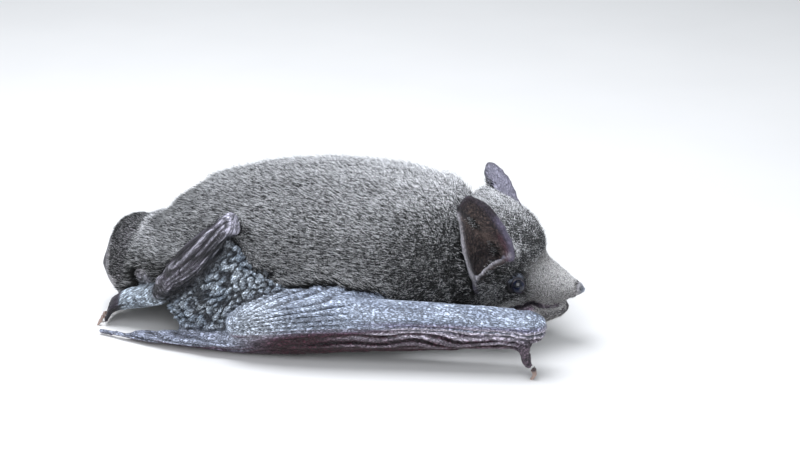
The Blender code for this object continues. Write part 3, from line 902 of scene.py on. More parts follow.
    def _knees(self, relief: Relief, marks: Landmarks) -> Array:
        """How near each point is to a knee, from 0 to 1.

        Args:
            relief: The skin.
            marks: Where things are.

        Returns:
            A number for each point.
        """
        far = []
        for side in Side:
            low, high = marks.box(f"shank_{side.word}")
            place = np.array((high[0] - 1.0, (low[1] + high[1]) / 2, high[2] - 1.2))
            far.append(relief.far(place))
        return bell(np.min(far, 0), self.knee)

    def _below_forearm(self, relief: Relief) -> Array:
        """How far each point lies below its forearm's middle line."""
        line = np.array(self.forearm)
        return np.interp(relief.at[:, 0], line[:, 0], line[:, 1]) - relief.at[:, 2]

    def _flow(self, relief: Relief, masks: dict, marks: Landmarks) -> Array:
        """Places squeezed along the way that the wrinkles of each part run.

        Args:
            relief: The skin.
            masks: How much each point belongs to each part.
            marks: Where things are.

        Returns:
            For each point, the place where its pattern is read, in millimetres.
        """
        at = relief.at
        flow = at.copy()
        owner = np.argmax(np.stack([masks[part] for part in Part]), 0)
        mine = {part: owner == i for i, part in enumerate(Part)}
        for side in Side:
            for part, node in ((Part.SHANK, "shank"), (Part.FOOT, "foot")):
                low, high = marks.box(f"{node}_{side.word}")
                way = (high[0] - low[0], 0, high[2] - low[2])
                leg = mine[part] & (at[:, 1] * side.value > 0)
                flow[leg] = drawn_out(at[leg], way, (low + high) / 2, self.leg_share)
        for part, (way, share) in self.ways.items():
            flow[mine[part]] = drawn_out(at[mine[part]], way, np.zeros(3), share)
        # On the wing the patterns follow the bend of the forearm.
        wing = mine[Part.WING]
        bent = at.copy()
        bent[:, 2] = self._below_forearm(relief)
        flow[wing] = drawn_out(bent[wing], (1, 0, 0), np.zeros(3), self.wing_share)
        return flow

    def _folds(self, relief: Relief, wing: Array) -> tuple[Array, Array]:
        """Works out the wings' loose folds.

        Args:
            relief: The skin.
            wing: How much each point is on a wing.

        Returns:
            How deep in a fold each point lies, and how much it is on a lit crest, 0 to 1.
        """
        x, _, z = relief.at.T
        below = self._below_forearm(relief)
        # One set fans out over the elbow and runs on along the wing.
        along = np.maximum(x - self.elbow[0], 0.3)
        fan = (z - self.elbow[1]) / along**0.5
        sway = turbulence(relief.at, 5.0, (1, 0.3, 1))
        sweep = pleat(fan / self.fan_spacing + 0.4 * sway)
        sweep *= ease(along, 0.2, 1.2) * (1 - ease(along, 9.0, 15.0)) * ease(fan, 0.1, 0.3)
        sweep *= ease(turbulence(relief.at + 5, 3.0, (0.3, 0.3, 1)), -1.0, -0.5)
        # The other runs with the forearm along its lower half, strongest at the wrist.
        across = below / self.fold_spacing + turbulence(relief.at, 3.0, (0.7, 0.3, 1))
        lower = ease(below - 1.5 * (1 - ease(x, 3.0, 12.0)), -0.1, 0.7)
        lower *= 1 - ease(below, 2.9, 3.4)
        groove = np.maximum(pleat(across) * (0.06 + 0.94 * lower), sweep)
        crest = ease(np.abs(np.sin(math.pi * across)), 0.55, 0.85) * lower * ease(x, 0.0, 6.0)
        crest *= 1 - 0.75 * ease(below, 1.6, 2.1)
        return groove * wing, crest * wing

    def _ridges(self, relief: Relief, flow: Array, marks: Landmarks) -> Array:
        """The thin long ridges down each shank.

        Args:
            relief: The skin.
            flow: Where the patterns are read.
            marks: Where things are.

        Returns:
            A number for each point, from 0 to 1.
        """
        ridge = np.zeros(len(relief.at))
        sway = 1.1 * turbulence(flow, 1.2)
        for side in Side:
            low, high = marks.box(f"shank_{side.word}")
            way = unit(high - low)
            off = relief.at - (low + high) / 2
            across = off[:, 2] * way[0] - off[:, 0] * way[2]
            own = marks.outward(relief.at, side) > 0
            ridge += own * pleat(across / self.ridge_spacing + sway)
        return ridge

    def _knobs(self, relief: Relief, ahead: float, size: float) -> Array:
        """How much each point is on one of the small knobs, or that far ahead of one."""
        places = [(x + ahead, y * s.value, z) for x, y, z in self.knobs for s in Side]
        return bell(np.min([relief.far(place) for place in places], 0), size)

    def shape(self, relief: Relief, masks: dict, marks: Landmarks) -> None:
        """Folds the bare skin: loose folds on the wings, puckers on flank and legs.

        Args:
            relief: The skin.
            masks: How much each point belongs to each part.
            marks: Where things are.
        """
        outward = relief.normals(2)
        flow = self._flow(relief, masks, marks)
        wing, shank, flank = masks[Part.WING], masks[Part.SHANK], masks[Part.FLANK]
        hood = masks[Part.HOOD]
        limb = np.clip(shank + masks[Part.FOOT] + masks[Part.THUMB], 0, 1)
        groove, crest = self._folds(relief, wing)
        fine, knots, small, long = (
            cells.read(flow) for cells in (self.fine, self.knots, self.small, self.long)
        )
        ridge = self._ridges(relief, flow, marks) * shank
        x, _, z = relief.at.T
        # The shank stands clear of the membrane behind a deep crease.
        seam = np.clip(4 * shank * flank, 0, 1)
        pit = bell(np.hypot(x - self.pit[0], z - self.pit[1]), 0.9) * flank
        lump = self._knobs(relief, 0.0, self.knob)
        corner = bell(np.hypot(x - self.hood_corner[0], z - self.hood_corner[1]), 1.9)
        swell = 0.2 * ridge + 0.16 * shank + self.knee_rise * self._knees(relief, marks) * shank
        relief.raise_by(outward, (
            wing * 0.1 * fine - self.fold_depth * groove
            + flank * (1.95 * knots + 0.9 * small + 0.3) - 0.35 * seam - 0.6 * pit
            + limb * (0.34 * long + 0.15 * fine) + swell * (1 - ease(z, *self.knee_top))
            + hood * (0.08 * fine + 0.6 * corner) + self.knob_rise * lump
        ))
        relief.keep_above(FLOOR)
        # Painted shade: the cracks, folds, seam, pits and the ring round each knob are darkest, those
        # low on the flank most of all.
        low = 1.0 + 0.6 * (1 - ease(relief.at[:, 2], 6.0, 9.0))
        hollow = 1.1 * groove + seam + 1.3 * pit + limb * ease(-0.17 - long, 0.0, 0.1)
        hollow += flank * low * ease(-0.135 - knots, 0.0, 0.1)
        hollow += flank * 0.8 * ease(-0.18 - small, 0.0, 0.1)
        hollow += hood * ease(lump, 0.02, 0.12) * (1 - ease(lump, 0.15, 0.45))
        relief.mark_all({
            "hollow": np.clip(hollow, 0, 1),
            # A painted highlight on the folds' crests.
            "crest": crest,
            # The shank's ridges get a pale tone, partly their own and partly a painted highlight.
            "streak": ridge,
            "knob": ease(lump, 0.25, 0.7),
            "knob_bed": ease(self._knobs(relief, *self.bed), 0.25, 0.6),
            "flow": flow * MM,
        })


@dataclass
class Skin:
    """The whole skin, cast round the frame's flesh and worked up from there."""

    cell: float = 0.3  # the mesh's spacing
    swell: float = 0.15  # closes the thin cuts between the nodes
    eye_shrink: float = -0.12  # of the ball that keeps the skin whole behind each eye
    even_rounds: int = 5
    part_rounds: int = 10  # how softly one part's surface goes over into the next
    muzzle_depth: float = 0.42  # how much thinner the coat is on the muzzle than on the crown
    lids: Eyelids = field(default_factory=Eyelids)
    mouth: Mouth = field(default_factory=Mouth)
    nostrils: Nostrils = field(default_factory=Nostrils)
    ears: EarFolds = field(default_factory=EarFolds)
    wrinkles: Wrinkles = field(default_factory=Wrinkles)
    # How far the skin lies under the outline, by part, in millimetres.
    depth: dict[Part, float] = field(
        default_factory=lambda: {
            Part.COAT: 1.05, Part.HEAD: 0.62, Part.JAW: 0.2, Part.NOSE: 0.02,
            Part.EAR: 0.02, Part.TRAGUS: 0.17, Part.WING: 0.03, Part.THUMB: 0.0,
            Part.FLANK: 0.05, Part.HOOD: 0.12, Part.SHANK: 0.03, Part.FOOT: 0.03,
        }
    )
    hidden_from: float = 0.97  # how much of a point is under the thick coat where faces are joined
    thin_share: float = 0.8  # of the faces, after those are thinned out

    def build(self, marks: Landmarks) -> Object:
        """Makes the skin with its shape and its masks.

        Args:
            marks: Where things are.

        Returns:
            The skin as an object, without a material.
        """
        skin = self._cast(marks)
        relief = Relief(skin.data)
        relief.even(self.even_rounds)
        masks = self._parts(relief, marks)
        self._sink(relief, masks, marks)
        relief.write()
        relief.mark_all({part.name.lower(): mask for part, mask in masks.items()})
        skin = self._thin(skin, masks[Part.COAT])
        self._refine(skin, marks)
        relief = Relief(skin.data)
        masks = {part: relief.marked(part.name.lower()) for part in Part}
        masks[Part.EAR] = masks[Part.EAR] + masks[Part.TRAGUS]
        relief.mark("ear", masks[Part.EAR])
        self.wrinkles.shape(relief, masks, marks)
        crease, lips = self.mouth.shape(relief, marks)
        pit = self.nostrils.shape(relief, marks)
        self.ears.shape(relief, masks[Part.EAR], marks)
        rim, upper_lid = self.lids.shape(relief, marks)
        relief.write()
        # The mouth's groove and the nostrils are marked for painted shade.
        hollows = np.maximum(crease, pit)
        relief.mark_all({"crease": hollows, "lips": lips, "rim": rim, "upper_lid": upper_lid})
        self.wrinkles.tint(relief, masks, marks)
        Markings().paint(relief, masks, marks)
        log.info("skin: %d faces", len(skin.data.polygons))
        return skin

    def _cast(self, marks: Landmarks) -> Object:
        """Wraps one closed mesh round all the flesh.

        Args:
            marks: Where things are.

        Returns:
            The plain skin.
        """
        lump = bmesh.new()
        for name in marks.flesh:
            self._add(lump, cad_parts[name].data, self.swell)
        for side in Side:
            self._add(lump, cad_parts[f"eye_{side.word}"].data, self.eye_shrink)
        mesh = bpy.data.meshes.new("cast")
        lump.to_mesh(mesh)
        lump.free()
        cast = object_of("cast", mesh)
        remesh = cast.modifiers.new("cast", "REMESH")
        remesh.mode = "VOXEL"
        remesh.voxel_size = self.cell * MM
        skin = settled(cast, "bat_skin")
        self._keep_largest(skin.data)
        return skin

    @staticmethod
    def _add(lump: bmesh.types.BMesh, source: Mesh, swell: float) -> None:
        """Adds a merged copy of a node's mesh.

        Args:
            lump: What it is added to.
            source: The node's mesh.
            swell: How far the copy is pushed out, in millimetres.
        """
        part = bmesh.new()
        part.from_mesh(source)
        bmesh.ops.remove_doubles(part, verts=part.verts, dist=0.002 * MM)
        part.normal_update()
        for vert in part.verts:
            vert.co += vert.normal * swell * MM
        copy = bpy.data.meshes.new("copy")
        part.to_mesh(copy)
        part.free()
        lump.from_mesh(copy)
        bpy.data.meshes.remove(copy)

    @staticmethod
    def _keep_largest(mesh: Mesh) -> None:
        """Takes away all but the largest island of a mesh.

        Args:
            mesh: The mesh, which is changed.
        """
        work = bmesh.new()
        work.from_mesh(mesh)
        left = set(work.verts)
        islands = []
        while left:
            stack = [left.pop()]
            island = set(stack)
            while stack:
                here = stack.pop()
                near = {e.other_vert(here) for e in here.link_edges} - island
                island |= near
                stack += near
            left -= island
            islands.append(island)
        largest = max(islands, key=len)
        loose = [v for v in work.verts if v not in largest]
        bmesh.ops.delete(work, geom=loose, context="VERTS")
        work.to_mesh(mesh)
        work.free()

    def _parts(self, relief: Relief, marks: Landmarks) -> dict[Part, Array]:
        """Finds which part each point belongs to, from the nearest node.

        Args:
            relief: The skin.
            marks: Where things are.

        Returns:
            For each part, how much each point belongs to it, from 0 to 1.
        """
        corners, faces, owner = [], [], []
        for name in marks.flesh:
            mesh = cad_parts[name].data
            start = len(corners)
            corners += [v.co / MM for v in mesh.vertices]
            faces += [[start + i for i in p.vertices] for p in mesh.polygons]
            owner += [Part.of(name)] * len(mesh.polygons)
        tree = BVHTree.FromPolygons(corners, faces)
        nearest = [owner[tree.find_nearest(Vector(p))[2]] for p in relief.at]
        held = {part: np.array([n is part for n in nearest], float) for part in Part}
        return {part: relief.spread(own, self.part_rounds) for part, own in held.items()}

    def _sink(self, relief: Relief, masks: dict, marks: Landmarks) -> None:
        """Lowers the skin under the outline by the coat's depth.

        Args:
            relief: The skin.
            masks: How much each point belongs to each part.
            marks: Where things are.
        """
        depth = sum(masks[part] * deep for part, deep in self.depth.items())
        # The coat thins from the crown to the muzzle.
        forward = ease(relief.at[:, 0], marks.eye_x - 3.0, marks.eye_x + 2.0)
        depth -= masks[Part.HEAD] * forward * self.muzzle_depth
        relief.raise_by(relief.normals(6), -(relief.spread(depth, 8) + self.swell))
        relief.at = relief.spread(relief.at, 2, 0.3)
        # The hood is one smooth skin, smoothed without drawing its corners in.
        soft = relief.spread(relief.at, 16)
        soft += soft - relief.spread(soft, 16)
        relief.at += (soft - relief.at) * masks[Part.HOOD][:, None]
        relief.keep_above(FLOOR)

    def _thin(self, skin: Object, hidden: Array) -> Object:
        """Joins small faces where the coat hides the skin, and leaves the rest alone.

        Args:
            skin: The skin.
            hidden: How much each point is under the thick coat.

        Returns:
            The thinned skin.
        """
        group = skin.vertex_groups.new(name="hidden")
        under = [int(i) for i in np.flatnonzero(hidden > self.hidden_from)]
        group.add(under, 1.0, "REPLACE")
        thin = skin.modifiers.new("thin", "DECIMATE")
        thin.ratio = self.thin_share
        thin.vertex_group = "hidden"
        return settled(skin, "bat_skin")

    def _refine(self, skin: Object, marks: Landmarks) -> None:
        """Halves the spacing where folds are fine, and again round the eyes and nostrils.

        Args:
            skin: The skin, which is changed.
            marks: Where things are.
        """
        far = math.inf
        # The lowest and highest x, distance sideways and z of each place with fine folds.
        folded = (
            ((marks.eye_x - 1.0, -1.0, 2.8), (far, 6.0, 9.0)),  # the face
            ((-7.8, 10.4, 2.6), (22.0, far, far)),  # the outer side of a forearm
            ((-15.5, 7.9, 3.0), (-5.0, far, 13.0)),  # a shank and a flank membrane
        )
        nostrils = (((marks.nose_x - 0.9, -1.0, 4.6), (far, far, far)),)
        eyes = [Vector(marks.eye[side]) for side in Side]

        def within(c: Vector, boxes: tuple) -> bool:
            """Whether a place is inside any of the boxes."""
            place = (c.x, abs(c.y), c.z)
            return any(all(a < v < b for a, v, b in zip(lo, place, hi)) for lo, hi in boxes)

        def fine(c: Vector) -> bool:
            """Whether a place is at an eye or a nostril."""
            return min((c - eye).length for eye in eyes) < 1.6 or within(c, nostrils)

        work = bmesh.new()
        work.from_mesh(skin.data)
        for zone in (lambda c: within(c, folded), fine):
            faces = [f for f in work.faces if zone(f.calc_center_median() / MM)]
            edges = list({e for f in faces for e in f.edges})
            bmesh.ops.subdivide_edges(work, edges=edges, cuts=1, use_grid_fill=True, smooth=0.25)
        bmesh.ops.triangulate(work, faces=[f for f in work.faces if len(f.verts) > 4])
        work.to_mesh(skin.data)
        work.free()
        skin.data.shade_smooth()


@dataclass(frozen=True)
class Spot:
    """A pale or dark patch of the coat on both sides of the head."""

    place: Triple  # forwards, outwards and up from the eye
    size: float
    shade: float  # above 0 for a pale one


@dataclass(frozen=True)
class Markings:
    """Where the coat is pale or dark, long or short, and which way it lies."""

    base_length: float = 1.5
    muzzle_thin: float = 0.35  # the coat's loss on the muzzle, which lets the skin show through
    muzzle_ahead: Pair = (0.4, 2.8)  # how far ahead of the eye the muzzle begins and is full
    muzzle_top: Pair = (1.3, 2.4)  # and how far above it the muzzle ends
    hood_furred: Pair = (-21.6, -19.2)  # where the back's coat ends on the hood
    hood_bare: Pair = (-24.4, -23.2)  # where the hood's own short hair ends
    nape: Pair = (13.0, 9.0)  # the x and z of the dark nape's middle
    nape_size: Pair = (4.2, 4.6)
    nape_aside: float = 3.2  # how far from the animal's middle it begins
    eye_ring: Pair = (0.95, 1.2)  # how far from the eye's middle hair begins
    near_eye: float = 2.0  # how far round the eye it is short
    pad_behind: Pair = (1.1, 0.5)  # how far behind the nose's tip the coat ends
    pad_above: float = 4.6  # the height from which the nose pad is bare
    # What each place adds to how bare the skin is.
    barer: dict[str, float] = field(
        default_factory=lambda: {
            "crease": 1.5, "eye_ring": 1.3, "lips": 1.9, "upper_lid": 1.0, "ear": 1.2,
            "knob_bed": 2.0, "fringe": -2.4, "pad": 1.0,
        }
    )
    # The share that each takes off the coat's length.
    shorter: dict[str, float] = field(
        default_factory=lambda: {
            "head": 0.36, "muzzle": 0.66, "near_eye": 0.55, "ear": 0.6, "border": 0.3,
        }
    )
    # What each adds to how pale the coat is. up is painted light: the coat is paler where it faces up
    # and darker where it faces down.
    paler: dict[str, float] = field(
        default_factory=lambda: {
            "up": 0.2, "nape": -0.42, "muzzle": 0.5, "head": -0.14, "inside": 0.7,
            "fringe": -0.3, "border": -0.25,
        }
    )
    spots: tuple[Spot, ...] = (
        Spot((0.2, -1.6, 4.3), 1.25, -0.85),  # above the brow
        Spot((1.1, -2.6, 3.4), 1.1, -0.6),
        Spot((1.8, -3.7, 2.5), 1.3, -0.75),
        Spot((0.7, -0.6, 2.0), 0.95, -0.85),  # between the brow and the eye
        Spot((-0.9, 0.5, 1.9), 0.8, -0.5),
        Spot((0.1, 0.5, 3.2), 0.85, 1.3),  # in front of the ear
        Spot((-2.6, 0.9, -1.4), 1.4, 0.65),  # under the ear's lobe
        Spot((-0.6, 0.0, -2.3), 0.9, 0.5),  # over the corner of the mouth
        Spot((-0.5, -0.6, -1.1), 0.5, -0.3),  # under the eye
        Spot((1.2, -0.4, -0.1), 0.5, 0.1),  # before the eye
        Spot((2.6, -1.9, 0.6), 0.9, 0.3),  # on the muzzle's side
        Spot((3.6, -2.7, -2.0), 0.8, -0.4),  # over the lip
    )

    def paint(self, relief: Relief, masks: dict, marks: Landmarks) -> None:
        """Puts the coat's masks and directions on the skin.

        Args:
            relief: The skin.
            masks: How much each point belongs to each part.
            marks: Where things are.
        """
        out = relief.normals(4)
        where = self._places(relief, out, masks, marks)
        head, muzzle, nape = where["head"], where["muzzle"], where["nape"]
        hood = masks[Part.HOOD]
        relief.mark_all({
            "coat_cover": self._cover(relief, where, masks),
            "coat_length": self._length(relief, where, hood),
            "pale": self._tone(relief, where, hood, marks),
            "muzzle": muzzle,
            "ruffle": 0.32 + 0.8 * nape + 0.2 * head,
            "lift": 0.85 + 0.25 * nape + 0.35 * head - 0.6 * muzzle,
            "lie": self._lie(relief, out, head, marks),
            "out": out,
        })

    def _places(self, relief: Relief, out: Array, masks: dict, marks: Landmarks) -> dict[str, Array]:
        """Finds the places that the coat differs on.

        Args:
            relief: The skin.
            out: The outward direction at each point.
            masks: How much each point belongs to each part.
            marks: Where things are.

        Returns:
            By the place's name, how much each point is on it, up to 1.
        """
        x, y, z = relief.at.T
        head, ear = masks[Part.HEAD], masks[Part.EAR]
        to_eye = np.min([relief.far(marks.eye[side]) for side in Side], 0)
        begins, full = self.muzzle_ahead
        muzzle = ease(x, marks.eye_x + begins, marks.eye_x + full)
        muzzle *= 1 - ease(z - marks.eye_z, *self.muzzle_top)
        border = 4 * masks[Part.COAT] * (masks[Part.FLANK] + 1.5 * masks[Part.SHANK])
        off = (x - self.nape[0]) / self.nape_size[0], (z - self.nape[1]) / self.nape_size[1]
        nape = bell(np.hypot(*off), 1.0) * (np.abs(y - marks.middle) > self.nape_aside)
        begins, full = (marks.nose_x - behind for behind in self.pad_behind)
        where = {
            "head": head,
            "ear": ear,
            "up": out[:, 2],  # how far it faces up, from -1
            "muzzle": np.clip(muzzle * head + masks[Part.JAW], 0, 1),
            "pad": ease(x, begins, full) * (z > self.pad_above),
            "eye_ring": 1 - ease(to_eye, *self.eye_ring),
            "near_eye": bell(to_eye, self.near_eye),
            "fringe": self._fringe(relief, ear, marks),
            "inside": relief.marked("ear_ridge") * ear,  # a few pale hairs stand in the ear
            "nape": relief.spread(nape, 6),
            "border": np.clip(border, 0, 1),  # where the coat ends at the flank and shank
            "furred": ease(x - 0.25 * (z - 6.0), *self.hood_furred),
        }
        for name in ("crease", "lips", "upper_lid", "knob_bed"):
            where[name] = relief.marked(name)
        return where

    def _cover(self, relief: Relief, where: dict[str, Array], masks: dict) -> Array:
        """How thickly the coat covers the skin.

        Args:
            relief: The skin.
            where: How much each point is on each place.
            masks: How much each point belongs to each part.

        Returns:
            A number for each point, from 0 where it is bare to 1.
        """
        bare = sum(share * where[name] for name, share in self.barer.items())
        hood = masks[Part.HOOD] * (0.2 + 0.8 * where["furred"]) * (where["up"] > -0.4)
        hood *= ease(relief.at[:, 0], *self.hood_bare)
        cover = masks[Part.COAT] + where["head"] + 1.3 * masks[Part.JAW] + 0.8 * hood - bare
        cover = np.clip(cover, 0, 1) * (1 - self.muzzle_thin * where["muzzle"])
        cover += 0.16 * ease(where["inside"], 0.3, 0.8)
        return cover * (0.4 + 0.6 * ease(where["up"], -0.5, 0.0))

    def _length(self, relief: Relief, where: dict[str, Array], hood: Array) -> Array:
        """How long the coat is, and short where it would reach the floor.

        Args:
            relief: The skin.
            where: How much each point is on each place.
            hood: How much each point belongs to the hood.

        Returns:
            A length for each point, in millimetres.
        """
        length = np.full(len(relief.at), self.base_length)
        for name, share in self.shorter.items():
            length *= 1 - share * where[name]
        length *= 1 - (0.68 - 0.55 * where["furred"]) * hood
        return length * (0.25 + 0.75 * ease(relief.at[:, 2] - where["up"], 0.6, 2.8))

    def _tone(self, relief: Relief, where: dict[str, Array], hood: Array, marks: Landmarks) -> Array:
        """How pale the coat is, clouded a little and with the head's spots.

        Args:
            relief: The skin.
            where: How much each point is on each place.
            hood: How much each point belongs to the hood.
            marks: Where things are.

        Returns:
            A number for each point, from 0 for the darkest to 1.
        """
        pale = 0.5 + sum(share * where[name] for name, share in self.paler.items())
        pale -= (0.2 - 0.15 * where["furred"]) * hood
        pale += 0.07 * turbulence(relief.at, 3.5)
        pale += 0.4 * where["head"] * turbulence(relief.at, 0.5)
        for spot in self.spots:
            for side in Side:
                place = marks.from_eye(side, spot.place)
                pale += spot.shade * bell(relief.far(place), spot.size)
        return np.clip(pale, 0, 1)

    @staticmethod
    def _fringe(relief: Relief, ear: Array, marks: Landmarks) -> Array:
        """The short dark hair that runs up to just below the tragus's edge.

        Args:
            relief: The skin.
            ear: How much each point belongs to an ear.
            marks: Where the head's features are.

        Returns:
            How much each point has it, from 0 to 1.
        """
        x, _, z = relief.at.T
        line = np.array([marks.from_eye(Side.RIGHT, p) for p in reversed(TRAGUS_EDGE)])
        under = np.interp(x, line[:, 0], line[:, 2]) - z
        fringe = ear * ease(under, 0.55, 0.95) * ease(x - line[0][0], -0.3, 0.3)
        return fringe * (1 - relief.marked("lobe"))

    @staticmethod
    def _lie(relief: Relief, out: Array, head: Array, marks: Landmarks) -> Array:
        """The way that the coat lies: back and up on the flanks, up from the nose on the brow.

        Args:
            relief: The skin.
            out: The outward direction at each point.
            head: How much each point belongs to the head.
            marks: Where the head's features are.

        Returns:
            A direction along the skin for each point.
        """
        x, _, z = relief.at.T
        lie = np.zeros((len(x), 3)) + TAILWARD
        lie[:, 2] += 0.38 * ease(z, 4.0, 9.0) * (1 - ease(out[:, 2], 0.5, 0.95))
        lie[:, 2] += 0.8 * head * ease(x, marks.eye_x - 1.0, marks.eye_x + 1.5)
        lie -= out * np.sum(lie * out, axis=1)[:, None]
        return unit(relief.spread(lie, 8))


@dataclass(frozen=True)
class BareSkin:
    """Bat skin: thin, slightly oily and finely wrinkled, dark where it is pigmented.

    It gives soft broken highlights along the wrinkles, and painted shade makes it darkest in the folds.
    """

    under_coat: str = "#29282a"
    # Each mask's colour, or the two that cloud together there, from the deepest to the topmost.
    tints: tuple[tuple[str, ...], ...] = (
        ("muzzle", "#c6c1c2"),
        ("nose", "#a4a9b3"),
        ("hood", "#b8b4b8"),
        ("hood_rim", "#3b343f"),
        ("foot", "#a9b5c2", "#cbd7e2"),
        ("cap", "#3b343f"),
        ("band", "#cbd7e2"),
        ("shank", "#221d23", "#4b444f"),
        # The shank's pale ridges: partly their own tone and partly a painted highlight.
        ("streak", "#cbc7d4"),
        # A painted highlight on the knee, over its own lavender tone.
        ("knee", "#cdc9d8"),
        ("knob", "#cdc9d8"),
        ("flank", "#93a0ae", "#e0eaf3"),
        ("wing", "#9ca6b9", "#c8d3e6"),
        ("elbow", "#e9f1fc"),
        ("blush", "#75618a"),
        # Painted shade on the wing's lower side and underside, over its own maroon tone, darkest at the
        # lower edge.
        ("under", "#653d54"),
        ("edge", "#3a1321"),
        # A painted highlight on the crests of the folds.
        ("crest", "#dcd3e0"),
        ("thumb", "#6c5b66"),
        ("ear", "#a5a2b3"),
        # Darker skin inside the ear, with painted shade where it faces forwards and outwards.
        ("ear_hollow", "#271e20", "#65554e"),
        ("ear_front", "#696276"),
        ("ear_top", "#2c2229"),
        ("ear_rear", "#b1adb2"),
        ("ear_fold", "#120f12"),
        ("tragus_edge", "#b1adb2"),
        ("lobe", "#696276"),
        ("lips", "#8d7488"),
        ("upper_lid", "#a9b1c1"),
        ("rim", "#2b252b"),
    )
    # A painted pinkish-brown sheen at the front of the ear's hollow.
    ear_flush: str = "#5c3a41"
    # Painted shade in the folds, cracks and pits.
    fold: str = "#17141a"
    # Painted shade in the mouth's groove, the nostrils and deep in the ear.
    crease: str = "#120f12"
    roughness: float = 0.46
    cloud_mm: float = 1.6
    wing_cloud_mm: float = 1.2
    speck_mm: float = 0.22
    wrinkle_mm: float = 0.6
    fine_mm: float = 0.2
    pebble_mm: float = 0.28
    # How bright the colour is in and beside each kind of mark, with painted shade in the wrinkles.
    wrinkle_tone: Pair = (0.78, 1.05)
    fine_tone: Pair = (0.38, 1.3)
    speck_tone: Pair = (0.72, 1.26)
    # How far the wrinkles, the fine ones and the scales stand up.
    relief_mm: Triple = (0.1, 0.08, 0.04)

    def material(self) -> Material:
        """Makes the bare skin's material.

        Returns:
            The material.
        """
        s = Shader("bat_skin")
        cloud = s.ramp(s.grain(self.cloud_mm, 4), 0.35, 0.68)
        speck = s.grain(self.speck_mm, 3)
        hollow = s.ramp(speck, 0.4, 0.75)
        ridge, deep = (s.math("MULTIPLY", s.mask(m), 0.8) for m in ("ear_ridge", "ear_deep"))
        s.follow("flow")
        clouds = {
            "wing": s.ramp(s.grain(self.wing_cloud_mm, 4), 0.3, 0.7),
            "ear_hollow": hollow,
        }
        colour = self.under_coat
        for name, tint, *pale in self.tints:
            if pale:
                tint = s.mix(clouds.get(name, cloud), tint, *pale)
            if name == "ear_hollow":
                # Painted shade deep in the ear, then a painted pinkish-brown sheen at its front.
                tint = s.mix(deep, s.mix(ridge, tint, *pale), self.crease)
                tint = s.mix(s.mask("ear_flush"), tint, self.ear_flush)
            colour = s.mix(s.mask(name), colour, tint)
        # Painted shade in the folds, cracks and pits, then in the mouth's groove and the nostrils.
        colour = s.mix(s.math("MULTIPLY", s.mask("hollow"), 0.9), colour, self.fold)
        colour = s.mix(s.mask("crease"), colour, self.crease)
        wrinkle, fine = s.crackle(self.wrinkle_mm), s.crackle(self.fine_mm)
        # Painted shade darkens the wrinkles, and the skin is darker between its specks.
        shade = s.ramp(wrinkle, 0, 1, *self.wrinkle_tone)
        shade = s.math("MULTIPLY", shade, s.ramp(fine, 0, 1, *self.fine_tone))
        shade = s.math("MULTIPLY", shade, s.ramp(speck, 0.32, 0.68, *self.speck_tone))
        shade = s.math("MULTIPLY", s.mask("creased"), s.math("SUBTRACT", shade, 1.0))
        shade = s.math("ADD", shade, 1.0)
        tone = add(s.tree, "ShaderNodeCombineColor", {0: shade, 1: shade, 2: shade}).outputs[0]
        broad, narrow, scale = self.relief_mm
        normal = s.bump(fine, narrow, s.bump(wrinkle, broad))
        return s.finish({
            "Base Color": s.mix(1.0, colour, tone, "MULTIPLY"),
            "Normal": s.bump(s.pebble(self.pebble_mm), scale, normal),
            "Roughness": self.roughness,
        })


# ---------------------------------------------------------------- the coat


@dataclass(frozen=True)
class FurFinish:
    """Vesper bat's fur: fine soft hair, nearly black at the root with pale frosted tips."""

    root: str = "#131311"
    middle: str = "#323231"
    tip: str = "#ffffff"
    face_root: str = "#3d3a3c"
    face_middle: str = "#e2dfda"
    frosted: Pair = (-0.18, 0.9)  # how far the darkest and the palest coat are frosted
    frost_from: Pair = (0.5, 0.92)  # where on a frosted tuft the frost begins and is full
    dark: Pair = (0.12, 0.45)  # the tones between which the coat stops being dark
    dark_frost: float = 0.25  # how much nearer the root the frost begins there
    clump_mm: float = 0.9
    clump: float = 1.6  # how much the clumps count where the coat is dark
    strand_mm: float = 0.14
    strand: float = 4.6  # how much the strands count
    face_frost: float = 0.2  # how much less the face is frosted
    roughness: float = 0.6

    def material(self) -> Material:
        """Makes the fur's material.

        Returns:
            The material.
        """
        s = Shader("bat_fur")
        along, shade, pale = s.mask("along"), s.mask("shade"), s.mask("tone")
        face = s.mask("face")
        # Some tufts are frosted to the tip and others hardly at all, fewer where it is dark.
        share = s.ramp(pale, 0.0, 1.0, *self.frosted)
        # Where the coat is dark, pale hairs stand together in loose clumps.
        dark = s.ramp(pale, *self.dark, 1.0, 0.0)
        clump = s.math("SUBTRACT", s.grain(self.clump_mm), 0.5)
        clump = s.math("MULTIPLY", clump, s.math("MULTIPLY", dark, self.clump))
        share = s.math("ADD", share, clump)
        # Hairs stick together in fine strands along the lie.
        strand = s.math("SUBTRACT", s.grain(self.strand_mm, 2, (0.15, 1, 1)), 0.5)
        strand = s.math("MULTIPLY", strand, self.strand)
        strand = s.math("SUBTRACT", strand, s.math("MULTIPLY", face, self.face_frost))
        share = s.math("ADD", share, strand)
        frosted = s.ramp(s.math("ADD", shade, share), 0.93, 1.07)
        start = s.math("ADD", along, s.math("MULTIPLY", dark, self.dark_frost))
        frost = s.math("MULTIPLY", s.ramp(start, *self.frost_from), frosted, clamp=True)
        deep = s.mix(face, self.root, self.face_root)
        middle = s.mix(face, self.middle, self.face_middle)
        colour = s.mix(s.ramp(along, 0.1, 0.8), deep, middle)
        return s.finish({
            "Base Color": s.mix(frost, colour, self.tip),
            "Roughness": self.roughness,
            "Specular IOR Level": 0.35,
        })


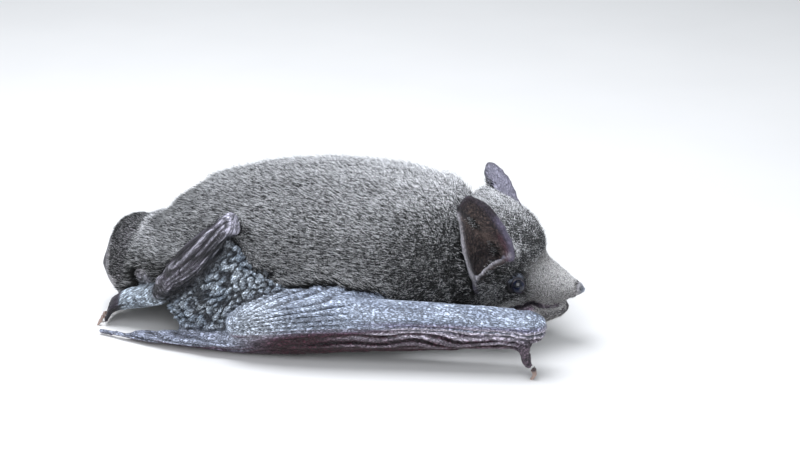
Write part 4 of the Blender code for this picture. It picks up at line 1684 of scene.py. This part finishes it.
@dataclass(frozen=True)
class Tuft:
    """One tuft: a three-sided lock that leans over and ends in a point."""

    width: float = 0.085
    lean: float = 0.3  # how far the tip leans, of the length
    sides: int = 3

    def build(self) -> Object:
        """Makes the tuft, 1 mm long, rooted at the origin and leaning to +X.

        Returns:
            The tuft, with its own patch of a map and how far along it each point is.
        """
        work = bmesh.new()
        along = work.verts.layers.float.new("along")
        patch = work.loops.layers.uv.new("patch")
        turns = [2 * math.pi * k / self.sides for k in range(self.sides)]
        radius = self.width / 2 * MM
        ring = [work.verts.new((radius * math.cos(a), radius * math.sin(a), 0)) for a in turns]
        tip = work.verts.new((self.lean * MM, 0, MM))
        tip[along] = 1.0
        for k in range(self.sides):
            face = work.faces.new((ring[k], ring[(k + 1) % self.sides], tip))
            for loop, across in zip(face.loops, (k, k + 1, k + 0.5)):
                loop[patch].uv = (across / self.sides, loop.vert[along])
        work.faces.new(ring[::-1])
        bmesh.ops.recalc_face_normals(work, faces=work.faces)
        mesh = bpy.data.meshes.new("tuft")
        work.to_mesh(mesh)
        work.free()
        return object_of("tuft", mesh)


@dataclass(frozen=True)
class Growth:
    """One piece of the coat, which covers a stretch of one side of the body."""

    name: str
    side: Side
    span: Pair  # of x
    seed: int

    def covers(self, at: Array, marks: Landmarks) -> Array:
        """Which points the piece covers."""
        start, end = self.span
        return (marks.outward(at, self.side) > 0) & (at[:, 0] >= start) & (at[:, 0] < end)


@dataclass
class Coat:
    """The fur, grown over the skin in pieces that cover the body without a gap."""

    spans: dict[str, Pair] = field(
        default_factory=lambda: {
            "rump": (-99, -9.0),
            "back": (-9.0, 3.5),
            "shoulder": (3.5, 15.2),
            "head": (15.2, 99),
        }
    )
    tufts: int = 43500  # in each piece
    first_seed: int = 11
    least_cover: float = 0.12  # below this no hair grows
    close: Pair = (1.7, 0.6)  # how close hair of no length stands, and what a millimetre takes
    ruffle: float = 1.0  # how much of the skin's own ruffle the tufts take
    locks: float = 0.26  # how far neighbouring tufts lean together
    lock_size: float = 0.6
    chance_of_length: Pair = (0.6, 1.3)
    patch: float = 0.003  # how wide a tuft is on its map
    trunk_middle: float = 8.4  # the height that the map is unrolled round
    trunk_radius: float = 9.5
    margin: float = 0.01  # left free at the map's near edge
    map_width: float = 0.97
    tuft: Tuft = field(default_factory=Tuft)

    def grow(self, skin: Object, marks: Landmarks) -> list[Object]:
        """Grows every piece.

        Args:
            skin: The finished skin with its masks.
            marks: Where things are.

        Returns:
            The pieces, as plain meshes.
        """
        tuft = self.tuft.build()
        tree = self._tree(FurFinish().material())
        relief = Relief(skin.data)
        area = self._areas(relief)
        cover = relief.marked("coat_cover")
        cover = np.where(cover > self.least_cover, cover, 0)
        # Shorter hair stands closer.
        cover *= self.close[0] - self.close[1] * relief.marked("coat_length")
        pieces = []
        for side in Side:
            for i, (word, span) in enumerate(self.spans.items()):
                seed = self.first_seed + 2 * i + side.value
                growth = Growth(f"coat_{word}_{side.word}", side, span, seed)
                held = growth.covers(relief.at, marks)
                weight = held * cover
                total = max(float((weight * area).sum()), TINY)
                relief.mark("density", weight * self.tufts / total / MM**2)
                relief.mark("root_map", self._unroll(relief.at, held))
                pieces.append(self._grow_one(skin, tuft, tree, growth))
                log.info("%s: %d triangles", growth.name, len(pieces[-1].data.polygons))
        bpy.data.objects.remove(tuft)
        return pieces

    @staticmethod
    def _areas(relief: Relief) -> Array:
        """The share of the surface that each point stands for.

        Args:
            relief: The skin.

        Returns:
            An area for each point, in square millimetres.
        """
        mesh = relief.mesh
        size = np.empty(len(mesh.polygons))
        mesh.polygons.foreach_get("area", size)
        count = np.empty(len(mesh.polygons), np.int64)
        mesh.polygons.foreach_get("loop_total", count)
        vert = np.empty(len(mesh.loops), np.int64)
        mesh.loops.foreach_get("vertex_index", vert)
        share = np.repeat(size / count, count) / MM**2
        return np.bincount(vert, share, len(relief.at))

    def _unroll(self, at: Array, held: Array) -> Array:
        """Rolls the body out flat: along it one way, round it the other.

        Args:
            at: The skin's points.
            held: Which of them the piece covers.

        Returns:
            A place for each point, inside 0 to 1 for those that are covered.
        """
        up = at[:, 2] - self.trunk_middle
        turn = np.arctan2(at[:, 1], up)
        # Towards each end the body narrows, and what is left of its width adds to its length.
        ends = np.where(at[:, 0] < 0, -1, 1) * (self.trunk_radius - np.hypot(at[:, 1], up))
        flat = np.stack([at[:, 0] + ends, turn, 0 * turn], 1)
        low, high = flat[held].min(0), flat[held].max(0)
        return self.margin + self.map_width * (flat - low) / np.maximum(high - low, TINY)

    def _tree(self, material: Material) -> Tree:
        """Builds the tree that sets tufts on a skin.

        Args:
            material: The tufts' material.

        Returns:
            The tree, with its named inputs.
        """
        tree = bpy.data.node_groups.new("grow_coat", "GeometryNodeTree")
        for name, kind in (
            ("Geometry", "Geometry"),
            ("Tuft", "Object"),
            ("Seed", "Int"),
            ("Ruffle", "Float"),
            ("Patch", "Float"),
        ):
            tree.interface.new_socket(name, in_out="INPUT", socket_type=f"NodeSocket{kind}")
        shape = "NodeSocketGeometry"
        tree.interface.new_socket("Geometry", in_out="OUTPUT", socket_type=shape)
        given = add(tree, "NodeGroupInput").outputs

        def read(name: str, kind: str = "FLOAT") -> Socket:
            """Reads a named attribute."""
            links = {"Name": name}
            return add(tree, "GeometryNodeInputNamedAttribute", links, data_type=kind).outputs[0]

        def number(operation: str, first: object, second: object) -> Socket:
            """A sum on numbers."""
            links = {0: first, 1: second}
            return add(tree, "ShaderNodeMath", links, operation=operation).outputs[0]

        def vector(operation: str, first: object, second: object) -> Socket:
            """A sum on vectors, or on a vector and a number that scales it."""
            links = {0: first, "Scale" if operation == "SCALE" else 1: second}
            return add(tree, "ShaderNodeVectorMath", links, operation=operation).outputs[0]

        def chance(low: float, high: float, shift: int) -> Socket:
            """A random number for each tuft."""
            links = {2: low, 3: high, "Seed": number("ADD", given["Seed"], float(shift))}
            return add(tree, "FunctionNodeRandomValue", links, data_type="FLOAT").outputs[1]

        def store(shape: object, name: str, value: object, **kind: str) -> Socket:
            """Keeps values on a shape under a name."""
            links = {"Geometry": shape, "Name": name, "Value": value}
            return add(tree, "GeometryNodeStoreNamedAttribute", links, **kind).outputs[0]

        links = {"Mesh": given["Geometry"], "Density": read("density"), "Seed": given["Seed"]}
        points = add(tree, "GeometryNodeDistributePointsOnFaces", links).outputs[0]
        # A tuft grows out of the skin and over towards the lie, a little ruffled, and leans
        # together with its neighbours.
        lie = read("lie", "FLOAT_VECTOR")
        way = vector("ADD", vector("SCALE", read("out", "FLOAT_VECTOR"), read("lift")), lie)
        links = {0: (-1, -1, -1), 1: (1, 1, 1), "Seed": given["Seed"]}
        jitter = add(tree, "FunctionNodeRandomValue", links, data_type="FLOAT_VECTOR").outputs[0]
        ruffle = number("MULTIPLY", read("ruffle"), given["Ruffle"])
        way = vector("ADD", way, vector("SCALE", jitter, ruffle))
        place = add(tree, "GeometryNodeInputPosition").outputs[0]
        links = {"Vector": place, "Scale": per_metre(self.lock_size), "Detail": 1.0}
        lock = add(tree, "ShaderNodeTexNoise", links).outputs["Color"]
        lock = vector("SCALE", vector("SUBTRACT", lock, (0.5, 0.5, 0.5)), self.locks)
        links = {0: vector("ADD", way, lock), 1: lie}
        axes = {"primary_axis": "Z", "secondary_axis": "X"}
        turn = add(tree, "FunctionNodeAxesToRotation", links, **axes).outputs[0]
        long = number("MULTIPLY", read("coat_length"), chance(*self.chance_of_length, 3))
        wide = number("POWER", long, 0.5)
        scale = add(tree, "ShaderNodeCombineXYZ", {0: wide, 1: wide, 2: long}).outputs[0]
        tuft = add(tree, "GeometryNodeObjectInfo", {"Object": given["Tuft"]}).outputs["Geometry"]
        kept = {"shade": chance(0, 1, 5), "tone": read("pale"), "face": read("muzzle")}
        for name, value in kept.items():
            points = store(points, name, value, data_type="FLOAT", domain="POINT")
        links = {"Points": points, "Instance": tuft, "Rotation": turn, "Scale": scale}
        real = add(tree, "GeometryNodeInstanceOnPoints", links).outputs[0]
        real = add(tree, "GeometryNodeRealizeInstances", {"Geometry": real}).outputs[0]
        own = vector("SCALE", read("patch", "FLOAT_VECTOR"), given["Patch"])
        spot = vector("ADD", read("root_map", "FLOAT_VECTOR"), own)
        real = store(real, "OFBake", spot, data_type="FLOAT2", domain="CORNER")
        links = {"Geometry": real, "Material": material}
        real = add(tree, "GeometryNodeSetMaterial", links).outputs[0]
        add(tree, "NodeGroupOutput", {"Geometry": real})
        return tree

    def _grow_one(self, skin: Object, tuft: Object, tree: Tree, growth: Growth) -> Object:
        """Grows one piece on the skin's mesh.

        Args:
            skin: The finished skin.
            tuft: What is set on it.
            tree: The tree that does it.
            growth: The piece.

        Returns:
            The piece, with only the attributes that its material and map need.
        """
        bed = bpy.data.objects.new("bed", skin.data)
        bpy.context.scene.collection.objects.link(bed)
        modifier = bed.modifiers.new("coat", "NODES")
        modifier.node_group = tree
        values = {"Tuft": tuft, "Seed": growth.seed, "Ruffle": self.ruffle, "Patch": self.patch}
        for item in tree.interface.items_tree:
            if item.in_out == "INPUT" and item.name in values:
                modifier[item.identifier] = values[item.name]
        bed.update_tag()
        bpy.context.view_layer.update()
        piece = settled(bed, growth.name)
        # Hairs under the body are pressed flat by the floor.
        spots = np.empty(len(piece.data.vertices) * 3)
        piece.data.vertices.foreach_get("co", spots)
        spots[2::3] = np.maximum(spots[2::3], FLOOR * MM)
        piece.data.vertices.foreach_set("co", spots)
        keep = {"along", "shade", "tone", "face", "OFBake", "position", "material_index"}
        keep.add("sharp_face")
        layers = piece.data.attributes
        for name in {a.name for a in layers if not a.name.startswith(".")} - keep:
            layers.remove(layers[name])
        return piece


# ---------------------------------------------------------------- eyes and claws


@dataclass(frozen=True)
class EyeFinish:
    """A bat's eye: a black iris under a wet clear cornea, which gives a sharp highlight."""

    ball: str = "#06070b"
    glint: str = "#141d37"
    roughness: float = 0.16

    def material(self) -> Material:
        """Makes the eyes' material.

        Returns:
            The material.
        """
        s = Shader("bat_eye")
        return s.finish({
            "Base Color": s.mix(s.ramp(s.grain(0.5), 0.35, 0.7), self.ball, self.glint),
            "Roughness": self.roughness,
            "IOR": 1.38,
            "Specular IOR Level": 0.35,
            "Coat Weight": 0.7,
            "Coat Roughness": 0.2,
        })


@dataclass(frozen=True)
class Eyes:
    """The two eyeballs, each with a slightly domed cornea."""

    rings: int = 28
    segments: int = 48
    dome: float = 0.04

    def build(self, marks: Landmarks) -> list[tuple[Object, Side]]:
        """Makes both eyes.

        Args:
            marks: Where the eyes are.

        Returns:
            Each eye with its side.
        """
        material = EyeFinish().material()
        made = []
        for side in Side:
            way = unit(np.array(Eyelids().lean) * (1, side.value, 1))
            ball, faces = self._ball()
            front = np.maximum(ball @ way, 0)
            ball *= (marks.eye_radius * (1 + self.dome * front**4))[:, None]
            mesh = bpy.data.meshes.new(f"eyeball_{side.word}")
            mesh.from_pydata((ball + marks.eye[side]) * MM, [], faces)
            mesh.materials.append(material)
            made.append((object_of(f"eyeball_{side.word}", mesh), side))
        return made

    def _ball(self) -> tuple[Array, list[tuple[int, ...]]]:
        """Makes a ball of radius 1, ring by ring from its top.

        Returns:
            Its corners, and the corners of each face.
        """
        rounds = range(self.segments)
        corners = [(0.0, 0.0, 1.0)]
        for i in range(1, self.rings):
            level = math.pi * i / self.rings
            for turn in (2 * math.pi * k / self.segments for k in rounds):
                wide = math.sin(level)
                corners.append((wide * math.cos(turn), wide * math.sin(turn), math.cos(level)))
        corners.append((0.0, 0.0, -1.0))
        faces = []
        for k, beside in ((k, (k + 1) % self.segments) for k in rounds):
            faces.append((0, 1 + k, 1 + beside))
            for i in range(self.rings - 2):
                up = 1 + i * self.segments
                low = up + self.segments
                faces.append((up + k, low + k, low + beside, up + beside))
            faces.append((low + k, len(corners) - 1, low + beside))
        return np.array(corners), faces


@dataclass(frozen=True)
class ClawFinish:
    """Claw horn: hard translucent keratin, pale brown and smooth, darker at the root."""

    pale: str = "#a48d82"
    dark: str = "#33282a"
    root_mm: Pair = (0.4, 1.5)  # the heights between which it turns dark
    streak_mm: float = 0.2
    roughness: float = 0.3

    def material(self) -> Material:
        """Makes the claws' material.

        Returns:
            The material.
        """
        s = Shader("claw_horn")
        height = add(s.tree, "ShaderNodeSeparateXYZ", {0: s.place}).outputs["Z"]
        root = s.ramp(height, *(level * MM for level in self.root_mm))
        streak = s.ramp(s.grain(self.streak_mm, 2, (0.3, 1, 1)), 0.4, 0.7, 0.0, 0.35)
        share = s.math("ADD", root, streak, clamp=True)
        colour = s.mix(share, self.pale, self.dark)
        return s.finish({"Base Color": colour, "Roughness": self.roughness})


# ---------------------------------------------------------------- the set


@dataclass(frozen=True)
class Studio:
    """A pale floor, soft lights and the camera."""

    floor: tuple[str, str] = ("#d9d7d3", "#dfddd9")
    floor_half: float = 2.0  # metres
    sky: str = "#dfe6ee"
    sky_light: float = 0.55
    lamp: str = "#f2f6ff"
    # Each light's name, place and size in millimetres, and its power.
    lamps: tuple[tuple[str, Triple, float, float], ...] = (
        ("overhead", (-40, 10, 190), 140, 0.5),
        ("window", (40, -210, 150), 190, 0.44),
    )
    lit: float = 8.0  # the height that the lights aim at
    ahead: float = 7.0  # how far the picture's middle lies towards the nose
    distance: float = 220.0
    azimuth: float = 12.0
    elevation: float = 20.0
    lens: float = 96.0
    middle: Triple = (-0.35, 0.0, 10.6)  # of the picture, in millimetres

    def build(self) -> None:
        """Makes the floor, the lights and the camera."""
        self._floor()
        self._lights()
        self._camera()
        scene = bpy.context.scene
        scene.view_settings.view_transform = "Standard"
        scene.view_settings.look = "None"

    def _floor(self) -> None:
        """Lays the floor, which isn't part of the bat."""
        mesh = bpy.data.meshes.new("floor")
        far = self.floor_half
        corners = [(-far, -far, 0), (far, -far, 0), (far, far, 0), (-far, far, 0)]
        mesh.from_pydata(corners, [], [(0, 1, 2, 3)])
        floor = object_of("studio_floor", mesh)
        s = Shader("matt_paper")
        colour = s.mix(s.grain(20), *self.floor)
        mesh.materials.append(s.finish({"Base Color": colour, "Roughness": 0.9}))

    def _lights(self) -> None:
        """Hangs a large soft light overhead, one at the side, and an even sky."""
        world = bpy.data.worlds.new("studio")
        bpy.context.scene.world = world
        world.use_nodes = True
        sky = world.node_tree.nodes["Background"].inputs
        sky[0].default_value = linear(self.sky)
        sky[1].default_value = self.sky_light
        for name, place, size, power in self.lamps:
            lamp = bpy.data.lights.new(name, "AREA")
            lamp.size = size * MM
            lamp.energy = power
            lamp.color = linear(self.lamp)[:3]
            shown = bpy.data.objects.new(name, lamp)
            shown.location = Vector(place) * MM
            aim = Vector((0, 0, self.lit * MM)) - shown.location
            shown.rotation_euler = aim.to_track_quat("-Z", "Y").to_euler()
            bpy.context.scene.collection.objects.link(shown)

    def _camera(self) -> None:
        """Sets the camera up, level with the side of the bat and a little above it."""
        a, e = math.radians(self.azimuth), math.radians(self.elevation)
        target = Vector(self.middle) + self.ahead * Vector((math.cos(a), math.sin(a), 0))
        look = Vector((-math.sin(a) * math.cos(e), math.cos(a) * math.cos(e), -math.sin(e)))
        lens = bpy.data.cameras.new("camera")
        lens.lens = self.lens
        lens.sensor_width = 36
        lens.clip_start = 0.001
        camera = bpy.data.objects.new("camera", lens)
        camera.location = (target - look * self.distance) * MM
        camera.rotation_euler = look.to_track_quat("-Z", "Y").to_euler()
        bpy.context.scene.collection.objects.link(camera)
        bpy.context.scene.camera = camera


# ---------------------------------------------------------------- putting it together


def main() -> None:
    """Builds the bat and its studio, piece by piece."""
    logging.basicConfig(level=logging.INFO, format="%(name)s: %(message)s")
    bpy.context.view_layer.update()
    Studio().build()
    marks = Landmarks()
    skin = Skin().build(marks)
    coat = Coat().grow(skin, marks)
    skin.data.materials.append(BareSkin().material())
    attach(skin, "root")
    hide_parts(*marks.flesh)
    for piece in coat:
        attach(piece, "root")
    for eye, side in Eyes().build(marks):
        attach(eye, "root")
        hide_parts(f"eye_{side.word}")
        log.info("%s", eye.name)
    horn = ClawFinish().material()
    for name in marks.claws:
        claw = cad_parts[name]
        for place in claw.material_slots:
            place.material = horn


if __name__ == "__main__":
    main()
